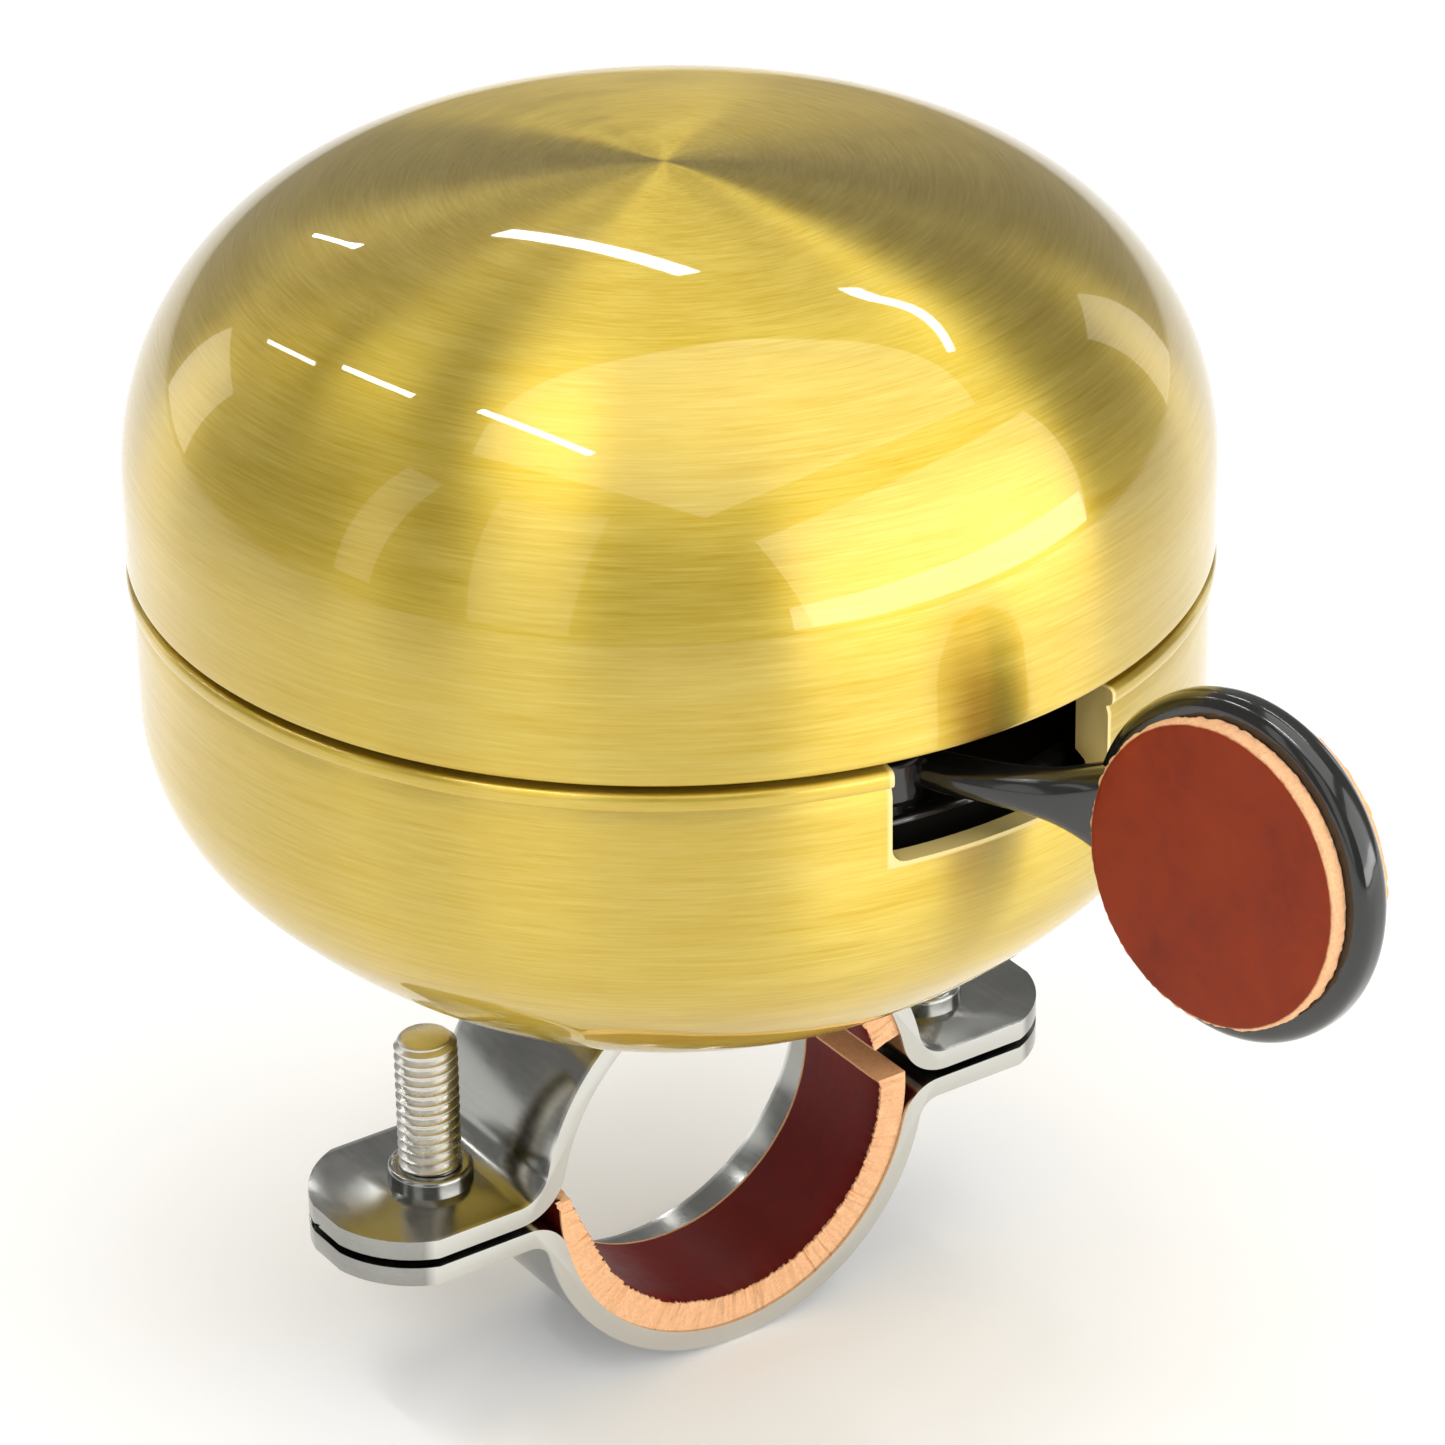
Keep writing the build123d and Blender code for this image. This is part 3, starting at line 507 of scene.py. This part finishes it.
lowerGongShape = {
    "straightZ": 31.8 * mm,
    "shoulder": 11.9 * mm,
    "crown": 39.9 * mm,
    "wall": 1.4 * mm,
    "hem": 2.3 * mm,
    "hemZ": 36.0 * mm,
    "hemStart": 33.4 * mm,
    "hemRound": 0.5 * mm,
    "lipHeight": 1.15 * mm,
    "lipProud": 0.3 * mm,
    "lipGroove": 0.14 * mm,
    "holeRadius": 2.6 * mm,
    # rings of the flat floor, as parts of its radius
    "floorRings": (0.85, 0.65, 0.45, 0.3),
    "notchFrom": -101.5,
    "notchTo": -73.5,
    "notchZ": 34.6 * mm,
    "notchCorner": 0.9 * mm,
    # width of the pale band round the notch, a painted highlight of its rounded filed edge
    "notchHighlightBand": 0.36 * mm,
    # the cutting wedge: how far it reaches in and out of the wall, and its height
    "wedge": (5 * mm, 3 * mm, 10 * mm),
    "segments": 240,
    "step": 0.9 * mm,
}


def notchCutHighlight(paint):
    # 1 on the notch's cut faces and on the filed edge round it, from the depth into the notch. The pale
    # colour there is partly bare cut brass and partly a painted highlight of the cut faces and the rounded
    # filed edge.
    s = lowerGongShape
    x, y, z = paint.axes()
    start, end = radians(s["notchFrom"]), radians(s["notchTo"])
    fromStart = y * cos(start) - x * sin(start)
    fromEnd = x * sin(end) - y * cos(end)
    depth = fromStart.calc("MINIMUM", fromEnd).calc("MINIMUM", z - s["notchZ"])
    return paint.spread(depth, -s["notchHighlightBand"], -0.6 * s["notchHighlightBand"])


# the lower gong's brass, with a painted highlight on the notch's cut faces and edge
lowerBrass = brushedBrass("lacquered brass, lower", -1.0, lacquer, cutMask=notchCutHighlight)


def bowlSide(s, radius, wall, floorZ):
    # points down the bowl's wall, shoulder and crown to the edge of the flat floor
    shoulder, crown = s["shoulder"] - wall, s["crown"] - wall
    shoulderX = radius - s["shoulder"]
    reach = sqrt((s["crown"] - s["shoulder"]) ** 2 - shoulderX**2)
    crownZ = s["straightZ"] + reach
    joint = atan2(reach, shoulderX)
    flat = pi / 2 - acos((crownZ - floorZ) / crown)
    shoulderSteps = round(shoulder * joint / s["step"])
    crownSteps = round(crown * (flat - joint) / s["step"])
    side = arc((shoulderX, s["straightZ"]), shoulder, 0, -joint, shoulderSteps)
    return side + arc((0, crownZ), crown, -joint, -flat, crownSteps)[1:]


def makeLowerGong():
    # a closed outline: out over the rolled lip, down to the floor, and back up inside to the hem
    s = lowerGongShape
    low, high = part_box("lower_gong")
    radius, rimZ, floorZ = high.x, high.z, low.z
    proud, lip = s["lipProud"], s["lipHeight"]
    lipRound = lip * 0.36
    outer = [(radius - lipRound * 1.6, rimZ)]
    outer += arc((radius + proud - lipRound, rimZ - lipRound), lipRound, pi / 2, 0, 5)
    outer += arc((radius + proud - lipRound, rimZ - lip + lipRound), lipRound, 0, -pi / 3, 3)
    groove = s["lipGroove"]
    outer += [(radius - groove, rimZ - lip - 0.05 * mm), (radius - groove + 0.02 * mm, rimZ - lip - 0.2 * mm)]
    outer += [(radius, rimZ - lip - 0.6 * mm)]
    wallSteps = round((rimZ - lip - s["straightZ"]) / s["step"])
    drop = outer[-1][1] - s["straightZ"]
    outer += [(radius, outer[-1][1] - drop * i / wallSteps) for i in range(1, wallSteps)]
    outer += bowlSide(s, radius, 0, floorZ)
    bottom = outer[-1][0]
    floorOut = [(bottom * f, floorZ) for f in s["floorRings"]] + [(s["holeRadius"], floorZ)]
    top = floorZ + s["wall"]
    inner = bowlSide(s, radius, s["wall"], top)[::-1]
    floorIn = [(s["holeRadius"], top)] + [(bottom * f, top) for f in s["floorRings"][::-1]]
    hem = radius - s["hem"]
    wallIn = radius - s["wall"]
    inside = [(wallIn, s["hemStart"]), (wallIn, s["hemZ"] - 0.9 * mm)]
    inside += [(wallIn - 0.25 * mm, s["hemZ"] - 0.5 * mm), (hem, s["hemZ"])]
    inside += [(hem, s["hemZ"] + 1.5 * mm), (hem, rimZ - 1.6 * mm)]
    hemRound = s["hemRound"]
    inside += arc((hem + hemRound, rimZ - hemRound), hemRound, pi, pi / 2, 4)
    gong = turned("gongLower", outer + floorOut + floorIn + inner + inside, s["segments"], closed=True)
    carve(gong, notchTool(s, radius))
    finishPiece(gong, lowerBrass, "bell_body", "lacquered_brass", "lower_gong")


def notchTool(s, radius):
    # a wedge between the notch's two sides, with its lower corners rounded
    half = radians(s["notchTo"] - s["notchFrom"]) / 2
    inward, outward, height = s["wedge"]
    near, far = radius - inward, radius + outward
    centre = (0, -(near + far) / 2, s["notchZ"] + height / 2)
    tool = cuttingBox((1 * mm, far - near, height), centre)
    openEdit(tool)
    for reach, sign in ((near, 1), (far, -1)):
        pick("FACE", lambda face: face.normal.y * sign > 0.9)
        wide = 2 * reach * tan(half) / mm
        bpy.ops.transform.resize(value=(wide, 1, 1), center_override=(0, -reach, 0))
    pick("EDGE", lambda edge: abs(middle(edge).z - s["notchZ"]) < tight
         and abs(edge.verts[0].co.y - edge.verts[1].co.y) > inward)
    bpy.ops.mesh.bevel(offset=s["notchCorner"], segments=6, affect="EDGES")
    closeEdit()
    settle(tool, Matrix.Rotation(radians((s["notchFrom"] + s["notchTo"]) / 2 + 90), 4, "Z"))
    return tool


makeUpperGong()
makeLowerGong()
print("gongs made")


leverShape = {
    "padCentre": (6.5 * mm, -46.9 * mm, 37.1 * mm),
    "padTurn": 10.0,
    "padLean": 4.3,
    "padRadius": 10.3 * mm,
    "padThick": 2.4 * mm,
    "padRound": 0.95 * mm,
    "pivot": (-3.4 * mm, -25.7 * mm),
    "plateCut": 3.3 * mm,
    "neckHeading": -57.0,
    "neckCuts": 5,
    "padSegments": 160,
    # neck sections in mm: x, y, z, heading in degrees, width, height
    "neck": [
        (-2.1, -27.7, 37.7, -57, 2.8, 1.9),
        (-0.6, -30.4, 37.7, -57, 2.8, 2.0),
        (0.9, -32.9, 37.7, -55, 2.7, 2.3),
        (2.6, -35.2, 37.6, -57, 2.8, 3.2),
        (3.9, -37.0, 37.45, -60, 3.0, 4.8),
        (4.9, -39.2, 37.3, -67, 3.1, 7.2),
        (5.6, -41.4, 37.2, -73, 2.9, 9.8),
        (6.1, -44.2, 37.1, -80, 2.0, 13.0),
    ],
    "neckRound": 0.44,
}
discShape = {
    "radius": 9.0 * mm,
    "thick": 1.2 * mm,
    "ragged": 0.11 * mm,
    "crown": 0.06 * mm,
    "rings": (0.95, 0.88, 0.75, 0.6, 0.45, 0.3, 0.15),
    # how far in from the edge the raw leather starts, and where it is whole
    "rawFrom": 0.32 * mm,
    "rawTo": 0.02 * mm,
    "face": (0.30, 0.036, 0.007, 1.0),
    "dark": (0.19, 0.020, 0.005, 1.0),
    "raw": (0.90, 0.46, 0.24, 1.0),
}


def padPlacement(side):
    # the pad's own frame: first axis out along the lever, third axis the disc's outer normal
    turn, lean = radians(leverShape["padTurn"]), radians(leverShape["padLean"])
    outward = Vector((sin(turn), -cos(turn), 0))
    normal = Vector((-cos(turn) * cos(lean), -sin(turn) * cos(lean), sin(lean))) * side
    across = normal.cross(outward)
    placement = Matrix((outward, across, normal)).transposed().to_4x4()
    placement.translation = Vector(leverShape["padCentre"])
    return placement


def makeNeck():
    # rounded rectangles across the neck, bridged into one skin
    s = leverShape
    loops = []
    for x, y, z, heading, wide, tall in s["neck"]:
        pickObject()
        bpy.ops.mesh.primitive_plane_add(size=1)
        loop = bpy.context.object
        loop.scale = (wide * mm, tall * mm, 1)
        bpy.ops.object.transform_apply(scale=True)
        openEdit(loop)
        bpy.ops.mesh.select_all(action="SELECT")
        rounding = min(wide, tall) * s["neckRound"] * mm
        bpy.ops.mesh.bevel(offset=rounding, segments=5, affect="VERTICES")
        closeEdit()
        upright = Matrix.Rotation(radians(90), 4, "X")
        facing = Matrix.Rotation(radians(heading + 90), 4, "Z")
        settle(loop, Matrix.Translation((x * mm, y * mm, z * mm)) @ facing @ upright)
        loops.append(loop)
    first = loops[0]
    pickObject(*loops[1:], first)
    bpy.ops.object.join()
    openEdit(first)
    pick("FACE", lambda face: True)
    bpy.ops.mesh.delete(type="ONLY_FACE")
    bpy.ops.mesh.select_mode(type="EDGE")
    bpy.ops.mesh.select_all(action="SELECT")
    bpy.ops.mesh.bridge_edge_loops(number_cuts=s["neckCuts"], interpolation="SURFACE", smoothness=0.9)
    pick("EDGE", lambda edge: len(edge.link_faces) == 1)
    bpy.ops.mesh.edge_face_add()
    bpy.ops.mesh.select_all(action="SELECT")
    bpy.ops.mesh.normals_make_consistent(inside=False)
    closeEdit()
    return first


def makeLever():
    s = leverShape
    half, rounding = s["padThick"] / 2, s["padRound"]
    rim = arc((s["padRadius"] - rounding, rounding - half), rounding, -pi / 2, 0, 6)
    rim += arc((s["padRadius"] - rounding, half - rounding), rounding, 0, pi / 2, 6)
    flat = [(s["padRadius"] * f, half) for f in (0.7, 0.4)] + [(0, half)]
    pad = turned("leverPad", rim + flat, s["padSegments"], solidStart=True)
    settle(pad, padPlacement(1))
    neck = makeNeck()
    lever = cadCopy("thumb_lever", "lever")
    openEdit(lever)
    heading = radians(s["neckHeading"])
    cut = Vector((cos(heading), sin(heading), 0))
    place = Vector((*s["pivot"], 0)) + cut * s["plateCut"]
    bpy.ops.mesh.select_all(action="SELECT")
    bpy.ops.mesh.bisect(plane_co=place, plane_no=cut, use_fill=True, clear_outer=True)
    closeEdit()
    carve(lever, neck, pad, operation="UNION")
    finishPiece(lever, blackPlastic, "lever", "black_plastic", "thumb_lever")


def discCut(paint):
    # 1 on the disc's raw edge, 0 on its face
    x, y, z = paint.axes()
    normal = padPlacement(1).col[2]
    centre = leverShape["padCentre"]
    dx, dy, dz = x - centre[0], y - centre[1], z - centre[2]
    rise = dx * normal[0] + dy * normal[1] + dz * normal[2]
    reach = (dx * dx + dy * dy + dz * dz - rise * rise) ** 0.5
    radius = discShape["radius"]
    return paint.spread(reach, radius - discShape["rawFrom"], radius - discShape["rawTo"])


discLeather = leather("saddle leather disc", discShape["face"], discShape["dark"], discShape["raw"],
                      0.42, discCut)


def makeDisc(name, side, seed, node):
    s = discShape
    radius, thick = s["radius"], s["thick"]
    edge = [(radius - 0.12 * mm, 0), (radius, 0.14 * mm), (radius, thick * 0.3), (radius, thick * 0.5)]
    edge += [(radius, thick * 0.7), (radius - 0.03 * mm, thick * 0.88), (radius - 0.16 * mm, thick)]
    face = [(radius * f, thick + s["crown"] * (1 - f * f)) for f in s["rings"]]
    disc = turned(name, edge + face + [(0, thick + s["crown"])], 220, solidStart=True)
    openEdit(disc)
    pick("VERT", lambda corner: corner.co.xy.length > radius - 0.1 * mm and corner.co.z > 0.05 * mm)
    bpy.ops.transform.vertex_random(offset=s["ragged"], uniform=0.4, normal=0.6, seed=seed)
    pick("VERT", lambda corner: corner.co.xy.length > radius - 0.4 * mm and corner.co.z > 0.05 * mm)
    bpy.ops.mesh.vertices_smooth(factor=0.35)
    closeEdit()
    settle(disc, padPlacement(side) @ Matrix.Translation((0, 0, leverShape["padThick"] / 2)))
    finishPiece(disc, discLeather, "lever", "saddle_leather", node, smooth=60)


makeLever()
makeDisc("leatherDiscFront", 1, 3, "lever_leather_front")
makeDisc("leatherDiscBack", -1, 8, "lever_leather_back")
print("lever made")


strapShape = {
    "softEdge": 0.24 * mm,
    "softSteps": 3,
    "softAngle": 50,
    "shoulder": 22.2 * mm,
    "tipSteps": 7,
    "tipEdge": 4 * mm,
}


def bowTip(strap, side, high):
    # bows one flange's angled end out to a single arc between its two shoulders
    shoulder = strapShape["shoulder"]
    rise = high.x - shoulder
    radius = (rise**2 + high.y**2) / (2 * rise)
    centre = (side * (high.x - radius), 0, 0)
    past = shoulder + 0.05 * mm
    pick("EDGE", lambda edge: middle(edge).x * side > past
         and (edge.verts[0].co - edge.verts[1].co).length > strapShape["tipEdge"])
    bpy.ops.mesh.subdivide(number_cuts=strapShape["tipSteps"])
    shape = bmesh.from_edit_mesh(strap.data)
    corners = [corner.co.copy() for corner in shape.verts if corner.co.x * side > past]
    for x, y in sorted({(round(place.x, 6), round(abs(place.y), 6)) for place in corners}):
        pick("VERT", lambda corner: abs(corner.co.x - x) < 2e-6 and abs(abs(corner.co.y) - y) < 2e-6)
        grow = radius / sqrt((x - centre[0]) ** 2 + y**2)
        bpy.ops.transform.resize(value=(grow, grow, 1), center_override=centre)


def makeStraps():
    for node, name in (("upper_strap", "strapUpper"), ("lower_strap", "strapLower")):
        strap = cadCopy(node, name)
        openEdit(strap)
        for side in (-1, 1):
            bowTip(strap, side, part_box(node)[1])
        closeEdit()
        softenEdges(strap, strapShape["softEdge"], strapShape["softSteps"], strapShape["softAngle"])
        finishPiece(strap, strapSteel, "bell_body", "polished_steel", node, smooth=30)


linerShape = {
    "thick": 2.02 * mm,
    "stepAngle": 1.1,
    "stripes": 10,
    "ragged": 0.16 * mm,
    "edgeBand": 0.16 * mm,
    "ends": (3.0, 16.0, 64.0),
    # the lower liner's left end: degrees that the flanges squeeze, and how much of its thickness goes
    "squeezed": 26.0,
    "squeeze": 0.62,
    "face": (0.17, 0.007, 0.004, 1.0),
    "dark": (0.09, 0.004, 0.003, 1.0),
    "raw": (0.92, 0.47, 0.25, 1.0),
}


def linerCut(paint):
    # 1 on the near and far cut edges of both liners, and on their ends
    low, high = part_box("lower_liner")
    band = linerShape["edgeBand"]
    x, y, z = paint.axes()
    near = paint.spread(y, low.y + band * 0.4, low.y + band * 1.6, 1.0, 0.0)
    far = paint.spread(y, high.y - band * 1.6, high.y - band * 0.4)
    cut = near.calc("MAXIMUM", far)
    for end in linerShape["ends"]:
        away = (z * cos(radians(end)) - x.calc("ABSOLUTE") * sin(radians(end))).calc("ABSOLUTE")
        cut = cut.calc("MAXIMUM", paint.spread(away, band * 0.4, band * 1.6, 1.0, 0.0))
    return cut


linerLeather = leather("liner leather", linerShape["face"], linerShape["dark"], linerShape["raw"],
                       0.4, linerCut)


def turnOf(corner):
    # a corner's angle round the bar in degrees, from -270 to 90
    turn = degrees(atan2(corner.co.z, corner.co.x))
    return turn - 360 if turn > 90 else turn


def makeLiner(node, name, start, end, seed, pinched=False):
    # an arc of corners along the strap, drawn out across the strap and then given its thickness
    s = linerShape
    low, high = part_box("lower_liner")
    radius = -low.z
    steps = round((end - start) / s["stepAngle"])
    line = [(x, low.y, z) for x, z in arc((0, 0), radius, radians(start), radians(end), steps)]
    liner = drawnLine(name, line)
    openEdit(liner)
    bpy.ops.mesh.select_all(action="SELECT")
    stripe = (high.y - low.y) / s["stripes"]
    for i in range(s["stripes"]):
        bpy.ops.mesh.extrude_edges_move(TRANSFORM_OT_translate={"value": (0, stripe, 0)})
    bpy.ops.mesh.select_all(action="SELECT")
    bpy.ops.mesh.normals_make_consistent(inside=False)
    pick("FACE", lambda face: True)
    outward = sum(face.normal.dot(Vector((middle(face).x, 0, middle(face).z))) > 0
                  for face in bmesh.from_edit_mesh(liner.data).faces)
    if outward < steps * s["stripes"] / 2:
        bpy.ops.mesh.flip_normals()
    closeEdit()
    modify(liner, "SOLIDIFY", thickness=s["thick"], offset=-1, use_even_offset=True)
    openEdit(liner)
    pick("EDGE", lambda edge: abs(middle(edge).y - low.y) < tight or abs(middle(edge).y - high.y) < tight)
    bpy.ops.mesh.subdivide(number_cuts=1)
    pick("VERT", lambda corner: corner.co.y < low.y + tight and corner.co.xz.length < radius - 0.1 * mm)
    bpy.ops.transform.vertex_random(offset=s["ragged"], uniform=0.6, normal=0.4, seed=seed)
    bpy.ops.mesh.vertices_smooth(factor=0.3)
    rows = round(s["squeezed"] / s["stepAngle"]) if pinched else 0
    for row in range(rows):
        turn = start + row * s["stepAngle"]
        pick("VERT", lambda corner: abs(turnOf(corner) - turn) < s["stepAngle"] / 2
             and corner.co.xz.length < radius - 0.3 * mm)
        thin = s["thick"] * s["squeeze"] * (1 - row * s["stepAngle"] / s["squeezed"]) ** 2
        grow = 1 + thin / (radius - s["thick"])
        bpy.ops.transform.resize(value=(grow, 1, grow), center_override=(0, 0, 0))
    closeEdit()
    finishPiece(liner, linerLeather, "bell_body", "liner_leather", node, smooth=60)


screwShape = {
    "radius": 2.0 * mm,
    "root": 1.64 * mm,
    "pitch": 0.7 * mm,
    "chamfer": 0.5 * mm,
    "headRadius": 3.1 * mm,
    "headHeight": 2.4 * mm,
    "headRound": 1.1 * mm,
    "recess": (4.0 * mm, 0.9 * mm, 1.3 * mm),
    "threadSteps": 36,
    "segments": 64,
    # how far round each screw was left, in degrees
    "turnLeft": 70,
    "turnRight": -25,
}


def makeScrew():
    # a thread wound round the axis, trimmed by a chamfered bar, on a pan head with a cross recess
    s = screwShape
    low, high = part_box("clamp_screws")
    neckZ = low.z + s["headHeight"]
    pitch, root, crest = s["pitch"], s["root"], s["radius"] - 0.01 * mm
    threadLine = [(root, 0), (root, 0.12), (crest, 0.46), (crest, 0.60), (root, 0.94), (root, 1.0)]
    thread = drawnLine("clampScrew", [(r, 0, part * pitch) for r, part in threadLine])
    turns = int((high.z - low.z) / pitch) + 3
    modify(thread, "SCREW", screw_offset=pitch, iterations=turns, steps=s["threadSteps"],
           render_steps=s["threadSteps"], use_merge_vertices=True, merge_threshold=1e-6, axis="Z")
    settle(thread, Matrix.Translation((0, 0, low.z)))
    openEdit(thread)
    bpy.ops.mesh.select_all(action="SELECT")
    bpy.ops.mesh.remove_doubles(threshold=2e-6)
    pick("EDGE", lambda edge: len(edge.link_faces) == 1)
    bpy.ops.mesh.edge_face_add()
    bpy.ops.mesh.select_all(action="SELECT")
    bpy.ops.mesh.normals_make_consistent(inside=False)
    closeEdit()
    over = s["radius"] + 0.1 * mm
    chamfer = s["chamfer"]
    barLine = [(over, neckZ - 0.3 * mm), (over, high.z - chamfer * 1.1)]
    barLine += [(over - chamfer, high.z - 0.1 * chamfer), (over - chamfer * 1.25, high.z), (0, high.z)]
    bar = turned("bar", barLine, s["segments"], solidStart=True)
    carve(thread, bar, operation="INTERSECT")
    rounding = s["headRound"]
    top = [(s["headRadius"] - 0.15 * mm, neckZ), (s["headRadius"], neckZ - 0.15 * mm)]
    side = arc((s["headRadius"] - rounding, low.z + rounding), rounding, 0, -pi / 2, 8)
    head = turned("head", top + side + [(1.0 * mm, low.z), (0, low.z)], s["segments"], solidStart=True)
    wide, narrow, deep = s["recess"]
    centre = (0, 0, low.z + deep / 2 - 0.1 * mm)
    tall = deep + 0.2 * mm
    carve(head, cuttingBox((wide, narrow, tall), centre), cuttingBox((narrow, wide, tall), centre))
    pickObject(head, thread)
    bpy.ops.object.join()
    return thread


def makeScrews():
    low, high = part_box("clamp_screws")
    reach = high.x - screwShape["headRadius"]
    right = makeScrew()
    left = bpy.data.objects.new("clampScrewLeft", right.data.copy())
    bpy.context.scene.collection.objects.link(left)
    right.name = "clampScrewRight"
    places = ((left, -reach, screwShape["turnLeft"]), (right, reach, screwShape["turnRight"]))
    for screw, place, turn in places:
        settle(screw, Matrix.Translation((place, 0, 0)) @ Matrix.Rotation(radians(turn), 4, "Z"))
    for screw in (left, right):
        finishPiece(screw, screwSteel, "bell_body", "screw_steel", "clamp_screws", smooth=32)


# each washer's piece, outer radius, hole, finish and slot
washerShape = {
    "base_washer": ("washerRubber", 6.4 * mm, 2.6 * mm, rubber, "black_rubber"),
    "gong_seat_washer": ("washerFelt", 8.0 * mm, 2.6 * mm, felt, "felt"),
}


def makeWashers():
    # soft rings with bulging rounded edges
    for node, (name, outer, hole, finish, slotName) in washerShape.items():
        low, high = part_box(node)
        rounding = (high.z - low.z) * 0.48
        outline = arc((outer - rounding, low.z + rounding), rounding, -pi / 2, 0, 4)
        outline += arc((outer - rounding, high.z - rounding), rounding, 0, pi / 2, 4)
        outline += [((outer + hole) / 2, high.z)]
        outline += arc((hole + rounding, high.z - rounding), rounding, pi / 2, pi, 4)
        outline += arc((hole + rounding, low.z + rounding), rounding, pi, 3 * pi / 2, 4)
        outline += [((outer + hole) / 2, low.z)]
        washer = turned(name, outline, 96, closed=True)
        finishPiece(washer, finish, "bell_body", slotName, node)


makeStraps()
makeLiner("upper_liner", "linerUpper", 16, 64, 5)
makeLiner("lower_liner", "linerLower", -183, 3, 11, pinched=True)
makeScrews()
makeWashers()
print("clamp made")


# finishes of the CAD parts that stay
cadFinishes = [
    (zincSteel, ["base_bolt", "centre_post", "tray_nut", "lock_washer", "post_lock_nut", "striker_pins",
                 "striker_washer_a", "striker_washer_b", "lever_pivot_pin", "idler_pin"]),
    (springSteel, ["lever_return_spring", "lever_clip", "idler_clip"]),
    (plainBrass, ["upper_gong_boss", "upper_gong_lug", "lower_gong_lug"]),
    (bronze, ["rotor_bush"]),
    (castZinc, ["rotor"]),
    (blackPlastic, ["mechanism_tray"]),
    (gearPlastic, ["idler_gear"]),
]
for finish, names in cadFinishes:
    for name in names:
        for place in nodes[name].material_slots:
            place.material = finish
print("finishes given")


studio = {
    "floorSize": 6.0,
    "floorColour": (0.93, 0.93, 0.93, 1.0),
    "ambient": 0.30,
    "floorGlow": 0.10,
    "ceiling": 1.0,
    "tubeWidth": 0.035,
    "tubePower": 1.3,
    # two rows of ceiling tubes: x, and where each tube starts and ends along y
    "tubes": [(0.50, 1.60, 2.08), (0.60, 0.86, 1.32), (0.76, 0.02, 0.74),
              (-0.50, 1.04, 1.64), (-0.43, 0.48, 0.86), (-0.36, -0.16, 0.26)],
    # soft panels: azimuth and elevation of the place, distance, width, height, power
    "panels": [
        (26, 22, 1.3, 1.75, 1.0, 10.0),
        (24, 6, 1.1, 1.5, 0.2, 3.2),
        (-64, 24, 1.3, 0.5, 1.1, 1.5),
        (-100, 24, 1.4, 0.22, 1.0, 0.7),
        (-160, 10, 1.4, 0.4, 0.5, 0.8),
        (100, 12, 1.5, 0.3, 0.7, 0.8),
        (20, 82, 1.5, 1.9, 1.5, 14.0),
    ],
    "airColour": (1.0, 0.99, 0.97, 1.0),
    "floorGap": 0.05 * mm,
}


def around(azimuth, elevation):
    a, e = radians(azimuth), radians(elevation)
    return Vector((sin(a) * cos(e), -cos(a) * cos(e), sin(e)))


def areaLight(name, place, target, width, height, power):
    lamp = bpy.data.lights.new(name, "AREA")
    lamp.shape = "RECTANGLE"
    lamp.size, lamp.size_y = width, height
    lamp.energy = power
    holder = bpy.data.objects.new(name, lamp)
    bpy.context.scene.collection.objects.link(holder)
    holder.location = place
    holder.rotation_mode = "QUATERNION"
    holder.rotation_quaternion = (target - place).to_track_quat("-Z", "Y")
    return holder


def setStudio():
    s = studio
    pickObject()
    bpy.ops.mesh.primitive_plane_add(size=s["floorSize"], location=(0, 0, cadLow.z - s["floorGap"]))
    floor = bpy.context.object
    floor.name = "floor"
    paint = Paint("pale floor", {"Roughness": 0.9, "Base Color": s["floorColour"],
                                 "Emission Color": (1.0, 1.0, 1.0, 1.0), "Emission Strength": s["floorGlow"]})
    floor.data.materials.append(paint.material)
    world = bpy.data.worlds.new("studio")
    bpy.context.scene.world = world
    world.use_nodes = True
    air = world.node_tree.nodes["Background"]
    air.inputs["Color"].default_value = s["airColour"]
    air.inputs["Strength"].default_value = s["ambient"]
    for i, (x, start, end) in enumerate(s["tubes"]):
        place = Vector((x, (start + end) / 2, s["ceiling"]))
        below = place - Vector((0, 0, 1))
        lamp = areaLight("tube" + str(i), place, below, s["tubeWidth"], end - start, s["tubePower"])
        lamp.rotation_quaternion = (1, 0, 0, 0)        # straight down, with its length along y
    middlePoint = (cadLow + cadHigh) / 2
    for i, (azimuth, elevation, distance, width, height, power) in enumerate(s["panels"]):
        place = middlePoint + around(azimuth, elevation) * distance
        areaLight("panel" + str(i), place, middlePoint, width, height, power)
    bpy.context.scene.view_settings.view_transform = "Standard"


cameraSettings = {
    "aim": (2.45 * mm, -1.65 * mm, 27.54 * mm),
    "distance": 369.4 * mm,
    "azimuth": -33.92,
    "elevation": 28.37,
    "roll": 0.79,
    "lens": 149.0,
    "sensor": 36.0,
    "clip": (0.01, 50.0),
}


def setCamera():
    s = cameraSettings
    data = bpy.data.cameras.new("camera")
    data.lens = s["lens"]
    data.sensor_width = s["sensor"]
    data.clip_start, data.clip_end = s["clip"]
    camera = bpy.data.objects.new("camera", data)
    bpy.context.scene.collection.objects.link(camera)
    back = around(s["azimuth"], s["elevation"])
    camera.rotation_mode = "QUATERNION"
    camera.location = Vector(s["aim"]) + back * s["distance"]
    level = (-back).to_track_quat("-Z", "Y")
    camera.rotation_quaternion = level @ Matrix.Rotation(radians(-s["roll"]), 3, "Z").to_quaternion()
    bpy.context.scene.camera = camera


setStudio()
setCamera()
print("floor, lights and camera set")
